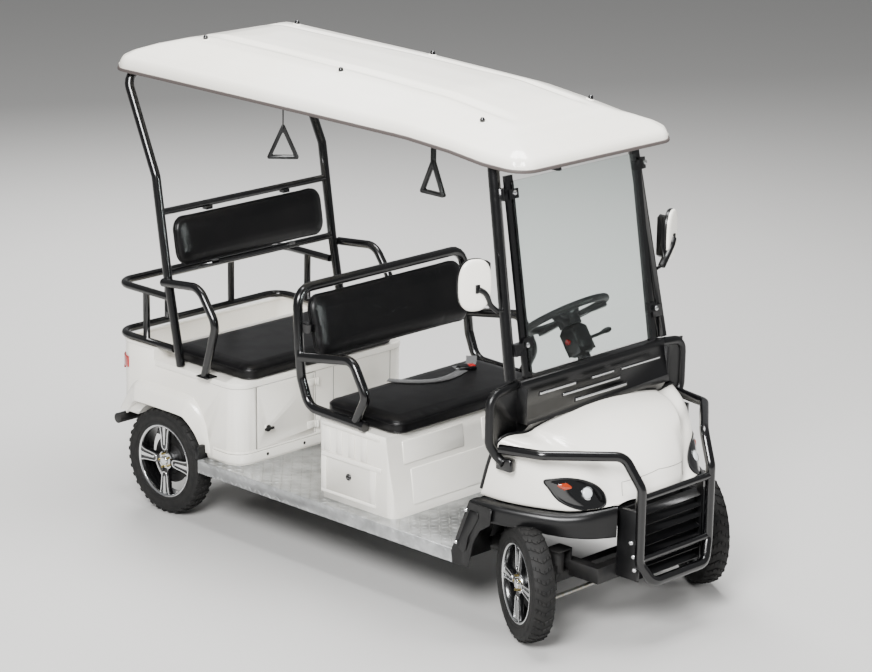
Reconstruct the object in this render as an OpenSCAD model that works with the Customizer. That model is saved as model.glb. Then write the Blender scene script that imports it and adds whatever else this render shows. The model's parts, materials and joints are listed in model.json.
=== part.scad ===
// Four-seat electric golf cart: white moulded bodywork on a black tube frame.
// +X is forward, +Y the cart's left, +Z up, with the origin on the ground at the
// middle of the cart's length and width. The front wheels stand turned to the right.

/* [Overall] */
// Overall length, rear rail to front guard
overall_l = 2490; // [2460:5:2560]
// Rear axle to king pins
wheelbase = 1850; // [1820:5:1880]
// Distance from the front end to the king pins
front_overhang = 306; // [290:1:330]
// Ground to the floor's upper face
floor_z = 265; // [250:1:300]

/* [Wheels] */
// Outside diameter of a tyre
tyre_d = 414; // [390:1:420]
// Width of a tyre
tyre_w = 84; // [74:1:88]
// Diameter of the rim's outer flange
rim_d = 284; // [260:1:300]
// Side to side distance between the outer faces of the tyres
track_out = 964; // [940:1:968]
// Distance of a king pin from the centre line
kingpin_y = 384; // [376:1:386]
// Steering angle at rest, positive to the left
steer_rest = -28; // [-31:1:31]
// Hole through a rim and a hub for the stub axle
hub_bore_d = 22; // [16:1:26]
// Radial running clearance of a hub on its stub axle
hub_gap = 0.05; // [0.02:0.01:0.1]

/* [Body] */
// Half width of the moulded rear body
body_half_w = 445; // [430:1:450]
// Wall of the moulded panels
wall = 5; // [4:0.5:7]
// Rear body's top rim above the ground
tub_top_z = 628; // [600:1:660]
// Seat deck of the rear body above the ground
rear_deck_z = 584; // [560:1:600]
// Height of the front seat box above the floor
seat_box_h = 298; // [270:1:310]
// Half width of the floor
floor_half_w = 490; // [480:1:500]
// Depth of the floor's side skirt
skirt_h = 50; // [40:1:60]

/* [Tubes] */
// Radius of the main frame tubes
tube_r = 16; // [14:0.5:17]
// Radius of the front guard's tube
guard_r = 14; // [12:0.5:15]
// Radius of the rear luggage rails
rail_r = 12.5; // [10:0.5:14]

/* [Seats] */
// Thickness of a seat cushion
cushion_t = 58; // [45:1:65]
// Half width of a seat cushion
cushion_half_w = 392; // [370:1:396]
// Thickness of a backrest cushion
back_t = 46; // [36:1:52]

/* [Roof] */
// Half width of the roof
roof_half_w = 460; // [440:1:480]
// Height of the roof's edge at the back
roof_rear_z = 1676; // [1660:1:1700]
// Height of the roof's edge at the front
roof_front_z = 1612; // [1600:1:1620]
// Rise of the roof's crown over its edge
roof_crown = 124; // [90:1:130]
// Thickness of the roof's moulding
roof_t = 8; // [6:0.5:12]

/* [Hidden] */
$fn = 32;

fit = 0.3;              // gap between pieces of different bodies that sit together
front_x = overall_l / 2;
king_x = front_x - front_overhang;
rear_x = king_x - wheelbase;
tail_x = -overall_l / 2;
tyre_r = tyre_d / 2;
rim_r = rim_d / 2;
wheel_y = track_out / 2 - tyre_w / 2;      // middle plane of a wheel
floor_t = 4;
grille_back_x = front_x - 149;

roof_x0 = tail_x + 36;
roof_x1 = front_x - 425;
roof_corner = 85;
roof_taper = 28;          // how much narrower each side is at the front
// Section of the roof: distance in from the edge, and rise over the edge as a share of the crown
roof_section = [[0, 0.03], [0, 0.16], [5, 0.27], [18, 0.38], [50, 0.52], [110, 0.70], [190, 0.88],
                [280, 0.97], [380, 1.0]];
roof_bar_y = 300;         // long bars under the roof
roof_bar_r = 12;

// ---------- general shapes ----------

function unit(v) = v / norm(v);
function mix(a, b, t) = a + (b - a) * t;
function flip(p) = len(p) > 2 ? [p.x, -p.y, p.z] : [p.x, -p.y];
function flipped(path) = [for (p = path) flip(p)];
function reversed(path) = [for (i = [len(path) - 1 : -1 : 0]) path[i]];

// A frame whose Z is along d, for cylinders between two points
function side_of(d) = abs(d.z) > 0.9 ? unit(cross(d, [0, 1, 0])) : unit(cross(d, [0, 0, 1]));

module along(p, q) {
    d = unit(q - p);
    s = side_of(d);
    t = cross(d, s);
    multmatrix([[s.x, t.x, d.x, p.x], [s.y, t.y, d.y, p.y], [s.z, t.z, d.z, p.z], [0, 0, 0, 1]])
        children();
}

module rod(p, q, r) {
    along(p, q) cylinder(r = r, h = norm(q - p));
}

module mirrored_y() {
    children();
    mirror([0, 1, 0]) children();
}

// Centre line of a bent tube: its points, with each inner corner turned into an arc
function bend_arc(a, b, c, bend, steps) =
    let (d = unit(b - a), e = unit(c - b), angle = acos(min(1, max(-1, d * e))),
         cut = bend * tan(angle / 2), inward = unit(e - d * (d * e)), centre = b - d * cut + inward * bend)
    [for (k = [0 : steps]) centre - inward * bend * cos(angle * k / steps) + d * bend * sin(angle * k / steps)];
function centre_line(path, bend, steps) = concat([path[0]],
    [for (i = [1 : 1 : len(path) - 2], p = bend_arc(path[i - 1], path[i], path[i + 1], bend, steps)) p],
    [path[len(path) - 1]]);
function tangent(line, i) = unit(line[min(i + 1, len(line) - 1)] - line[max(i - 1, 0)]);
function carried(u, d) = unit(u - d * (u * d));
function tube_sides(line, i = 0, u = undef, out = []) = i == len(line) ? out :
    let (v = i == 0 ? side_of(tangent(line, 0)) : carried(u, tangent(line, i)))
    tube_sides(line, i + 1, v, concat(out, [v]));

// Round tube through points, with each inner corner bent to the radius bend
module bent_tube(path, r, bend, sides = 16, steps = 5) {
    line = centre_line(path, bend, steps);
    across = tube_sides(line);
    ring_solid([for (i = [0 : len(line) - 1]) let (d = tangent(line, i), u = across[i], v = cross(d, u))
        [for (k = [0 : sides - 1]) line[i] + r * (cos(k * 360 / sides) * u + sin(k * 360 / sides) * v)]]);
}

module rounded_rect(x0, x1, y0, y1, r) {
    translate([x0 + r, y0]) square([x1 - x0 - 2 * r, y1 - y0]);
    translate([x0, y0 + r]) square([x1 - x0, y1 - y0 - 2 * r]);
    for (x = [x0 + r, x1 - r], y = [y0 + r, y1 - r]) translate([x, y]) circle(r = r, $fn = 48);
}

module rounded_block(x0, x1, y0, y1, z0, z1, r) {
    translate([0, 0, z0]) linear_extrude(z1 - z0) rounded_rect(x0, x1, y0, y1, r);
}

module block(x0, x1, y0, y1, z0, z1) {
    translate([x0, y0, z0]) cube([x1 - x0, y1 - y0, z1 - z0]);
}

// Side profile in X and Z, drawn out across the cart from y0 to y1
module profile_y(points, y0, y1) {
    translate([0, y1, 0]) rotate([90, 0, 0]) linear_extrude(y1 - y0) polygon(points);
}

// Closed skin over rings of equally many points. Each end is one flat face, or strips
// across it where the ring's two halves mirror each other and aren't flat.
module ring_solid(rings, strips = false) {
    n = len(rings[0]);
    m = len(rings);
    end = strips ? [for (i = [0 : n / 2 - 2]) [i, i + 1, n - 2 - i, n - 1 - i]] : [[for (i = [0 : n - 1]) i]];
    faces = concat(
        [for (j = [0 : m - 2], i = [0 : n - 1]) [j * n + i, (j + 1) * n + i, (j + 1) * n + (i + 1) % n]],
        [for (j = [0 : m - 2], i = [0 : n - 1]) [j * n + i, (j + 1) * n + (i + 1) % n, j * n + (i + 1) % n]],
        end, [for (f = end) [for (i = [len(f) - 1 : -1 : 0]) (m - 1) * n + f[i]]]);
    polyhedron(points = [for (r = rings, p = r) p], faces = faces, convexity = 6);
}

// One point of a superellipse with half sizes a and b and power k, at angle t
function squircle(a, b, k, t) = [a * sign(cos(t)) * pow(abs(cos(t)), 2 / k),
                                 b * sign(sin(t)) * pow(abs(sin(t)), 2 / k)];

// ---------- under the floor ----------

frame_y = 250;            // middle of a long rail
frame_top = floor_z - floor_t - fit;
frame_bot = frame_top - 55;
rail_half = 20;
axle_r = 21;
axle_end_y = wheel_y - tyre_w / 2 - 12;     // where the rear axle's brake drum ends
stub_tip_y = wheel_y + 18;

cross_w = 40;
cross_x = [tail_x + 60, rear_x + 300, -60, king_x - 372];
rail_front_x = grille_back_x - fit;
rail_back_x = tail_x + 60;
beam_z = tyre_r;          // middle of the front axle beam
beam_half = 16;
notch = 3;                // room between a notched rail and its axle
spring_y = 305;
spring_r = 24;
spring_top_z = 300;
tow_pin_d = 20;
bumper_z = 296;

module chassis_frame() color("#202124") {
    difference() {
        union() {
            mirrored_y() block(rail_back_x, rail_front_x, frame_y - rail_half, frame_y + rail_half,
                               frame_bot, frame_top);
            for (x = concat(cross_x, [rail_front_x - cross_w]))
                block(x, x + cross_w, -frame_y, frame_y, frame_bot, frame_top);
            // outriggers carry the floor's edges
            for (x = [cross_x[1], cross_x[2], cross_x[3]])
                mirrored_y() block(x, x + cross_w, frame_y, floor_half_w - 40, frame_bot + 15, frame_top);
            // towers over the front springs
            mirrored_y() {
                block(king_x - 30, king_x + 30, frame_y + rail_half - 8, frame_y + rail_half,
                      beam_z + beam_half + notch, spring_top_z + 1);
                block(king_x - 30, king_x + 30, frame_y + rail_half - 8, spring_y + spring_r + 6,
                      spring_top_z, spring_top_z + 6);
            }
        }
        // the long rails are notched over the axles
        mirrored_y() block(king_x - 22 - notch, king_x + 22 + notch, frame_y - 30, frame_y + 30,
                           beam_z - beam_half - notch, beam_z + beam_half + notch);
        rod([rear_x, -frame_y - 30, tyre_r], [rear_x, frame_y + 30, tyre_r], axle_r + notch);
        // tow pin hole through the rear cross member
        translate([rail_back_x + cross_w / 2, 0, frame_bot - 1])
            cylinder(d = tow_pin_d, h = frame_top - frame_bot + 2);
    }
    // rear bumper bar on two stays
    rod([tail_x + 22, -body_half_w + 8, bumper_z], [tail_x + 22, body_half_w - 8, bumper_z], 20);
    mirrored_y() block(tail_x + 22, rail_back_x + 10, frame_y - 12, frame_y + 12, frame_bot + 5, bumper_z + 8);
}
ear_z = 29;               // inner faces of a yoke's ears, above and below the beam's middle
ear_t = 16;

module front_axle() color("#26282a") {
    block(king_x - 22, king_x + 22, -kingpin_y + 50, kingpin_y - 50, beam_z - beam_half, beam_z + beam_half);
    mirrored_y() {
        // yoke that holds the king pin
        difference() {
            block(king_x - 20, king_x + 20, kingpin_y - 60, kingpin_y - 18, beam_z - 45, beam_z + 45);
            block(king_x - 21, king_x + 21, kingpin_y - 38, kingpin_y, beam_z - ear_z, beam_z + ear_z);
        }
        for (z = [beam_z - ear_z - ear_t, beam_z + ear_z]) translate([king_x, kingpin_y, z])
            difference() {
                union() {
                    cylinder(r = 19, h = ear_t);
                    translate([-19, -40, 0]) cube([38, 40, ear_t]);
                }
                translate([0, 0, -1]) cylinder(d = kingpin_d + 2 * hub_gap, h = ear_t + 2);
            }
        // coil spring unit under its tower
        rod([king_x, spring_y, beam_z + beam_half - 1], [king_x, spring_y, spring_top_z - fit], spring_r);
    }
}
kingpin_d = 18;

module rear_axle() color("#2b2d2f") {
    rod([rear_x, -axle_end_y, tyre_r], [rear_x, axle_end_y, tyre_r], axle_r);
    // differential case
    rod([rear_x, -62, tyre_r], [rear_x, 62, tyre_r], 70);
    mirrored_y() {
        // brake drum and stub
        rod([rear_x, axle_end_y - 34, tyre_r], [rear_x, axle_end_y, tyre_r], 84);
        rod([rear_x, axle_end_y, tyre_r], [rear_x, stub_tip_y, tyre_r], hub_bore_d / 2);
        // leaf springs on pads over the axle
        for (k = [0 : 2]) block(rear_x - 230 + k * 55, rear_x + 230 - k * 55,
                                frame_y - 25, frame_y + 25, tyre_r - 22 - 9 * (k + 1), tyre_r - 22 - 9 * k);
        block(rear_x - 36, rear_x + 36, frame_y - 27, frame_y + 27, tyre_r - 22, tyre_r - 6);
        for (s = [-1, 1]) block(rear_x + s * 218 - 12, rear_x + s * 218 + 12,
                                frame_y - 25, frame_y + 25, tyre_r - 24, frame_bot);
    }
}

motor_r = 50;

module drive_motor() color("#6a6d70") {
    rod([rear_x + 70 + fit, 0, tyre_r], [rear_x + 270, 0, tyre_r], motor_r);
}

module battery_pack() color("#303338") {
    block(-40, 210, -300, 300, floor_z + fit, floor_z + 210);
}

floor_back_x = rear_x + 211;
floor_front_x = king_x - 322;

module floor_plate() color("#b9bcbf") {
    block(floor_back_x, floor_front_x, -floor_half_w, floor_half_w, floor_z - floor_t, floor_z);
    mirrored_y() block(floor_back_x, floor_front_x, floor_half_w - 3, floor_half_w,
                       floor_z - skirt_h, floor_z - floor_t);
}

// ---------- front seat ----------

box_back_x = -75;
box_front_x = 281;
box_lean = 45;            // how far the box's front leans back at the top
box_top = floor_z + seat_box_h;
box_half_w = body_half_w - 10;

module seat_box_form(inset) {
    intersection() {
        rounded_block(box_back_x - box_lean + inset, box_front_x - inset, -box_half_w + inset,
                      box_half_w - inset, floor_z + fit, box_top - inset, 40 - inset);
        profile_y([[box_back_x + inset, floor_z], [box_front_x - inset, floor_z],
                   [box_front_x - box_lean - inset, box_top], [box_back_x - 30 + inset, box_top]],
                  -box_half_w, box_half_w);
    }
}

module front_seat_box() color("#f1efe9") {
    difference() {
        seat_box_form(0);
        translate([0, 0, -1]) seat_box_form(wall);
    }
}

front_cushion_x0 = -130;
front_cushion_x1 = 262;
front_cushion_z = box_top + fit;

// Plain pillow: a rounded slab whose faces pull in towards the edges
module pillow(cx, cy, a, b, t, k) {
    n = 48;
    levels = [[0.0, 0.90], [0.25, 1.0], [0.75, 1.0], [1.0, 0.88]];
    ring_solid([for (l = levels) [for (i = [0 : n - 1])
        concat([cx, cy] + squircle(a * l[1] + (l[1] - 1) * b * 0.4, b * l[1] + (l[1] - 1) * a * 0.1,
                                   k, -i * 360 / n), [l[0] * t])]]);
}

module front_seat_cushion() color("#1c1c1e") {
    translate([0, 0, front_cushion_z])
        pillow((front_cushion_x0 + front_cushion_x1) / 2, 0,
               (front_cushion_x1 - front_cushion_x0) / 2, cushion_half_w + 8, cushion_t, 7);
}

// Backrests lean back: bottom and top points on the front face
front_back_low = [-126, 0, 762];
front_back_high = [-186, 0, 994];
frame_side_y = 440;
front_loop = [[130, frame_side_y, 582], [-150, frame_side_y, 590], [-190, frame_side_y, 690],
              [-204, frame_side_y, 800], [-224, frame_side_y - 10, 1012]];
front_arm = [[-200, frame_side_y, 768], [70, frame_side_y, 812], [142, frame_side_y, 690],
             [92, frame_side_y, 596]];

module front_seat_frame() color("#161718") {
    bent_tube(concat(flipped(front_loop), reversed(front_loop)), tube_r, 62);
    mirrored_y() {
        bent_tube(front_arm, tube_r, 48);
        // foot plate on the seat box
        block(0, 40, box_half_w - 9, box_half_w - 2, box_top + fit, 580);
        // clamp knob at the tube's end
        rod([122, frame_side_y, 582], [138, frame_side_y, 582], tube_r + 2);
        // tab that carries the backrest
        block(-206, -166, 400 + fit, frame_side_y - 6, 862, 890);
    }
}

// Backrest pillow between two points of its front face
module back_pillow(low, high, half_w, t) {
    lean = atan2(low.x - high.x, high.z - low.z);
    h = norm(high - low);
    translate([low.x, 0, low.z]) rotate([0, -lean, 0]) rotate([0, -90, 0])
        pillow(h / 2, 0, h / 2, half_w, t, 6);
}

module front_seat_back() color("#1c1c1e") {
    back_pillow(front_back_low, front_back_high, 400, back_t);
}

// ---------- rear body ----------

tub_back_x = tail_x + 42;
tub_front_x = rear_x + 386;
tub_bot_z = 345;
bulkhead_x = rear_x - 84;         // wall between the load space and the seat base
load_floor_z = 420;
arch_r = tyre_r + 20;
well_y = wheel_y - tyre_w / 2 - 12;
fairing_y = track_out / 2 + 13;
hatch_y0 = -350;
hatch_y1 = -50;
hatch_z0 = floor_z + 48;
hatch_z1 = rear_deck_z - 22;
hatch_gap = 4;

module tub_form(inset, z0, z1) {
    rounded_block(tub_back_x + inset, tub_front_x - inset, -body_half_w + inset,
                  body_half_w - inset, z0, z1, 70 - inset);
}

module wheel_well(r, y0, y1) {
    rod([rear_x, y0, tyre_r], [rear_x, y1, tyre_r], r);
    block(rear_x - r, rear_x + r, y0, y1, 0, tyre_r);
}

module rear_body() color("#f1efe9") {
    difference() {
        union() {
            difference() {
                tub_form(0, floor_z + fit, tub_top_z);
                // load space, open at the top
                intersection() {
                    tub_form(wall, load_floor_z, tub_top_z + 1);
                    block(tail_x, bulkhead_x - wall, -600, 600, load_floor_z, tub_top_z + 1);
                }
                // the rim steps down to the seat deck
                block(bulkhead_x, tub_front_x + 1, -600, 600, rear_deck_z, tub_top_z + 1);
                // seat base, open underneath
                intersection() {
                    tub_form(wall, 0, rear_deck_z - wall);
                    block(bulkhead_x, tub_front_x + 1, -600, 600, 0, rear_deck_z - wall);
                }
                // space under the load floor
                intersection() {
                    tub_form(wall, 0, load_floor_z - wall);
                    block(tail_x, bulkhead_x + 1, -600, 600, 0, load_floor_z - wall);
                }
                // raised tail
                block(tail_x, rear_x + 150, -600, 600, 0, tub_bot_z);
            }
            // wheel housings
            mirrored_y() intersection() {
                wheel_well(arch_r + wall, well_y - wall, body_half_w - 1);
                block(tail_x, 0, 0, 600, tub_bot_z, 600);
            }
            // fairings over the wheels
            mirrored_y() translate([rear_x, 0, 0]) rotate([90, 0, 90]) translate([0, 0, -190])
                linear_extrude(350)
                    polygon([[body_half_w - 1, 392], [fairing_y, 398], [fairing_y, 452],
                             [body_half_w - 1, 470]]);
        }
        mirrored_y() {
            wheel_well(arch_r, well_y, fairing_y - 4);
            // open side of the arch, lower than the fairing's lip
            intersection() {
                wheel_well(arch_r, well_y, 600);
                block(-2000, 0, 0, 600, 0, 392 - fit);
            }
        }
        // hatch opening in the seat base's front
        block(tub_front_x - wall - 1, tub_front_x + 1, hatch_y0, hatch_y1, hatch_z0, hatch_z1);
    }
}

hatch_pin_x = tub_front_x + 8;
hatch_pin_y = hatch_y1 + 9;

module rear_hatch() color("#f1efe9") {
    block(tub_front_x - wall, tub_front_x, hatch_y0 + hatch_gap, hatch_y1 - hatch_gap,
          hatch_z0 + hatch_gap, hatch_z1 - hatch_gap);
    // hinge leaves and barrels
    for (z = [hatch_z0 + 40, hatch_z1 - 40]) {
        block(tub_front_x, tub_front_x + 3, hatch_y1 - 40, hatch_y1 + 2, z - 14, z + 14);
        translate([hatch_pin_x, hatch_pin_y, z - 14]) cylinder(r = 5, h = 28);
        block(tub_front_x + 1.5, hatch_pin_x, hatch_y1 - 2, hatch_pin_y, z - 14, z + 14);
    }
    // turn latch
    rod([tub_front_x, hatch_y0 + 50, 392], [tub_front_x + 9, hatch_y0 + 50, 392], 11);
}

rear_cushion_x0 = bulkhead_x + 18;
rear_cushion_x1 = tub_front_x + 2;

module rear_seat_cushion() color("#1c1c1e") {
    translate([0, 0, rear_deck_z + fit])
        pillow((rear_cushion_x0 + rear_cushion_x1) / 2, 0,
               (rear_cushion_x1 - rear_cushion_x0) / 2, cushion_half_w, cushion_t, 7);
}

pillar_y = 430;
pillar_foot = rear_deck_z + fit;
pillar = [[-859, pillar_y, pillar_foot + 3.6], [-930, pillar_y, 930], [-990, pillar_y, 1296],
          [-1160, pillar_y - 8, 1648], [-1088, roof_bar_y + 10, 1732]];
bar_low = [-932, 0, 932];
bar_high = [-968, 0, 1160];
rear_back_low = [-900, 0, 952];
rear_back_high = [-934, 0, 1142];

module rear_pillars() color("#161718") {
    mirrored_y() {
        bent_tube(pillar, tube_r, 60);
        translate([pillar[0].x, pillar_y, pillar_foot]) cylinder(r = 14, h = 8);
    }
    for (b = [bar_low, bar_high]) rod(b - [0, pillar_y, 0], b + [0, pillar_y, 0], 12);
    // tabs that hold the backrest's edges
    for (y = [-200, 200]) {
        block(-972, -949, y - 15, y + 15, rear_back_high.z - 2, rear_back_high.z + 10);
        block(-931, -916, y - 15, y + 15, 936, rear_back_low.z - 5.8);
    }
}

module rear_seat_back() color("#1c1c1e") {
    back_pillow(rear_back_low, rear_back_high, 384, back_t - 4);
}

rear_arm_r = 13;
rear_arm_y = pillar_y + tube_r + rear_arm_r + fit;
rear_arm = [[-922, rear_arm_y, 905], [-720, rear_arm_y, 925], [-628, rear_arm_y, 800], [-690, rear_arm_y, 590]];

module rear_armrests() color("#161718") {
    mirrored_y() {
        bent_tube(rear_arm, rear_arm_r, 55);
        // foot on the body's edge
        block(-706, -674, body_half_w - 18, rear_arm_y + rear_arm_r, rear_deck_z + fit, 592);
    }
}

rail_end_x = tail_x + rail_r;
rail_y = 422;
function rail_loop(z, x0) = [[x0, rail_y, z], [rail_end_x, rail_y, z], [rail_end_x, -rail_y, z], [x0, -rail_y, z]];
upper_rail_z = 838;
lower_rail_z = tub_top_z + rail_r + fit;

module rear_rails() color("#161718") {
    bent_tube(rail_loop(upper_rail_z, -934), rail_r, 70);
    bent_tube(rail_loop(lower_rail_z, -905), rail_r, 70);
    mirrored_y() {
        for (x = [-1062]) rod([x, rail_y, lower_rail_z], [x, rail_y, upper_rail_z], rail_r - 1);
        rod([rail_end_x, 166, lower_rail_z], [rail_end_x, 166, upper_rail_z], rail_r - 1);
    }
}

module tail_lamps() color("#c3201c") {
    mirrored_y() translate([tub_back_x - 6, body_half_w - 92, 500]) cube([6 - fit, 60, 48]);
}

// ---------- roof ----------

// Edge height falls towards the front, faster over the last stretch
function roof_edge_z(x) = lookup(x, [[roof_x0, roof_rear_z], [300, roof_rear_z - 26],
                                     [650, roof_front_z + 4], [roof_x1, roof_front_z]]);
function roof_lean(x) = roof_taper * (x - roof_x0) / (roof_x1 - roof_x0);
function roof_corner_arc(cx, half, r, side, t0, steps = 7) =
    [for (k = [0 : steps]) let (t = t0 - k * 90 / steps, x = cx + r * cos(t))
        [x, side * (half - roof_lean(x)) + r * sin(t)]];
// Right half of the outline, front to back, with points where the edge's slope changes
function roof_half_outline(d) =
    let (r = max(roof_corner - d, 12), xa = roof_x0 + d + r, xb = roof_x1 - d - r, half = roof_half_w - d - r)
    concat(roof_corner_arc(xb, half, r, -1, 0),
           [for (x = [min(650, xb - 8), min(300, xb - 16)]) [x, roof_lean(x) - half - r]],
           roof_corner_arc(xa, half, r, -1, -90));
function roof_outline(d) = let (h = roof_half_outline(d)) concat(h, flipped(reversed(h)));
function roof_ring(d, share, drop) =
    [for (p = roof_outline(d)) [p.x, p.y, roof_edge_z(p.x) + roof_crown * share - drop]];

module roof() color("#f6f5f1") {
    ring_solid(concat(
        [for (s = reversed(roof_section)) roof_ring(s[0], s[1], 0)],
        [for (s = roof_section) roof_ring(s[0] + roof_t * 0.8, s[1], s[0] > 0 ? roof_t : 0)]), true);
}

// Height of the roof's underside over a point well inside its side edges
function roof_under(x, y) =
    let (inset = min(roof_half_w - roof_lean(x) - y, x - roof_x0, roof_x1 - x) - roof_t * 0.8)
    roof_edge_z(x) + roof_crown * lookup(inset, roof_section) - roof_t;
// A long bar is straight between three places, each close under the roof
bar_stops = [for (x = [-1072, 300, 645]) [x, roof_under(x, roof_bar_y) - roof_bar_r - 3 * fit]];
function roof_bar(x) = [x, roof_bar_y, lookup(x, bar_stops)];
roof_cross_x = [-928, -208, 523];

module roof_frame() color("#161718") {
    mirrored_y() {
        bent_tube([for (b = bar_stops) roof_bar(b[0])], roof_bar_r, 200);
    }
    for (x = roof_cross_x) rod(flip(roof_bar(x)), roof_bar(x), roof_bar_r - 2);
}

// ---------- windscreen ----------

screen_low = [808, 0, 905];
screen_high = [700, 0, 1556];
screen_dir = unit(screen_high - screen_low);
glass_half_w = 322;
glass_t = 5;

module screen_plane() {
    lean = atan2(screen_low.x - screen_high.x, screen_high.z - screen_low.z);
    translate(screen_low) rotate([0, -lean, 0]) children();
}

screen_l = norm(screen_high - screen_low);

module windscreen() color("#a9c0c4", 0.4) {
    screen_plane() translate([0, 0, 0]) rotate([90, 0, 90]) translate([0, 0, -glass_t / 2])
        linear_extrude(glass_t) rounded_rect(-glass_half_w, glass_half_w, 0, screen_l, 12);
}

hoop_top_y = 398;
front_pillar = [[787.4, hoop_top_y, 892], [639, hoop_top_y - 44, 1662]];

module front_pillars() color("#161718") {
    mirrored_y() {
        rod(front_pillar[0], front_pillar[1], 19);
        // glazing strip and its clamps
        screen_plane() {
            block(-glass_t / 2 - 10, -glass_t / 2 - fit, glass_half_w - 12, glass_half_w + 24, -10, screen_l + 20);
            for (z = [108, screen_l - 42]) {
                block(-glass_t / 2 - 2, glass_t / 2 + 6, glass_half_w + 1, glass_half_w + 22, z - 16, z + 16);
                block(glass_t / 2 + fit, glass_t / 2 + 6, glass_half_w - 22, glass_half_w + 22, z - 16, z + 16);
            }
            block(-24, 4, glass_half_w + 12, 366, screen_l - 60, screen_l - 20);
            block(-24, 4, glass_half_w + 12, 384, 70, 110);
        }
    }
    // header tube, and ties up to the roof's long bars
    rod([652, -front_pillar[1].y, 1595], [652, front_pillar[1].y, 1595], 11);
    mirrored_y() rod(front_pillar[1] - [0, 0, 12], roof_bar(635) + [0, 17, -2], 10);
}

// ---------- front body ----------

hood_back_low = [712, 0, 470];
hood_back_high = [830, 0, 735];
// Height against reach at the nose, and against half width at the back
hood_nose = [[470, 1158], [505, 1150], [560, 1122], [600, 1092], [645, 1040], [690, 962], [716, 906], [735, 850]];
hood_side = [[470, 462], [560, 458], [640, 451], [690, 440], [706, 405], [718, 345], [728, 250], [735, 60]];
hood_levels = [470, 505, 560, 600, 645, 690, 706, 718, 728, 735];
// Share of the half width against share of the reach: a blunt nose with slanted cheeks
nose_shape = [[0, 1], [0.14, 0.985], [0.28, 0.93], [0.42, 0.86], [0.60, 0.75], [0.78, 0.635], [0.88, 0.53],
              [0.95, 0.38], [0.985, 0.2], [1, 0]];

function nose_outline(x0, x1, w) =
    [for (i = [0 : 32]) let (v = cos(i * 180 / 32)) [x0 + (x1 - x0) * lookup(abs(v), nose_shape), w * v]];
function hood_back(z) = mix(hood_back_low.x, hood_back_high.x,
                            (z - hood_back_low.z) / (hood_back_high.z - hood_back_low.z));
function hood_ring(z, inset, dz) =
    [for (p = nose_outline(hood_back(z) + inset, lookup(z, hood_nose) - inset, lookup(z, hood_side) - inset))
        [p.x, p.y, z + dz]];

lamp = [1024, 268, 523];
lamp_turn = [0, 64, 28];
lamp_r = 44;

module at_lamp() {
    translate(lamp) rotate(lamp_turn) children();
}

module front_hood() color("#f1efe9") {
    difference() {
        ring_solid(concat(
            [for (i = [len(hood_levels) - 1 : -1 : 0]) hood_ring(hood_levels[i], 0, 0)],
            [for (i = [0 : len(hood_levels) - 1]) hood_ring(hood_levels[i], wall, i == 0 ? 0 : -wall)]));
        mirrored_y() at_lamp() translate([0, 0, -60]) cylinder(r = lamp_r + fit, h = 120, $fn = 48);
    }
}

fender_y = 500;
cowl_z0 = 342;
cowl_z1 = hood_nose[0][0] - fit;
steer_clear = 10;         // room round a front tyre at every steering angle
guard_back = [[690, 464], [floor_front_x + fit, 245], [630, 218], [705, 218], [716, 300], [770, 400], [780, 464]];

// Plan outline of the lower cowl, which follows the hood's lower edge
function cowl_outline(grow) = nose_outline(690, 1158 + grow, 470 + grow);

// Space that a front tyre sweeps as it steers, turned about the king pin
module swept_tyre() {
    out = wheel_y + tyre_w / 2 - kingpin_y;
    translate([king_x, kingpin_y, 0]) rotate_extrude($fn = 72) polygon(concat([[0, 0]],
        [for (z = [0 : tyre_r / 9 : tyre_d]) [sqrt(max(0, tyre_r * tyre_r - pow(z - tyre_r, 2)) + out * out) + steer_clear, z]],
        [[out + steer_clear, tyre_d + steer_clear], [0, tyre_d + steer_clear]]));
}

module front_fenders() color("#1a1b1c") {
    difference() {
        union() {
            // lower cowl round the nose
            difference() {
                translate([0, 0, cowl_z0]) linear_extrude(cowl_z1 - cowl_z0) polygon(cowl_outline(8));
                translate([0, 0, cowl_z0 - 10]) linear_extrude(cowl_z1 - cowl_z0 + 6) polygon(cowl_outline(3));
                block(600, 712, -440, 440, 300, 500);
            }
            // mud guards behind the wheels: outer cheek and back plate
            mirrored_y() {
                profile_y(guard_back, fender_y - wall, fender_y);
                profile_y([[690, 464], [floor_front_x + fit, 245], [630, 218], [636, 218], [floor_front_x + 7, 246], [696, 464]],
                          310, fender_y);
                block(690, 790, 455, fender_y, 459, 464);
            }
        }
        mirrored_y() swept_tyre();
        // gap for the grille
        block(front_x - 160, front_x, -190, 190, cowl_z0 - 20, 512);
    }
}

module headlamps() color("#15181b") {
    mirrored_y() at_lamp() translate([0, 0, -30]) cylinder(r = lamp_r, h = 44, $fn = 48);
}

guard_x = front_x - guard_r;
guard_arm = [[814.8, 472.3, 672], [968, 432, 676], [1150, 205, 660], [1204, 184, 560], [1204, 184, 290],
             [guard_x, 140, 217]];

module front_guard() color("#121314") {
    bent_tube(concat(flipped(guard_arm), reversed(guard_arm)), guard_r, 40);
    rod([1204, -184, 521], [1204, 184, 521], guard_r - 3);
}

module grille() color("#17181a") {
    // side plates, back plate and slats
    mirrored_y() profile_y([[grille_back_x, 212], [1188, 212], [1188, 505], [1164, 505], [1164, 464],
                            [grille_back_x, 464]], 162, 168);
    for (k = [0 : 6]) translate([1152, -163, 236 + 38 * k]) rotate([0, 30, 0]) cube([36, 326, 4]);
    block(grille_back_x, grille_back_x + 4, -168, 168, 212, 464);
}

dash_top_z = 890;
dash_half_w = 376;
hoop_y = 506;
hoop = [[796, dash_half_w, 874], [796, hoop_y, 860], [796, hoop_y, 690], [800, hoop_y - 34, 640],
        [834, hoop_y - 34, 624]];

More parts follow.
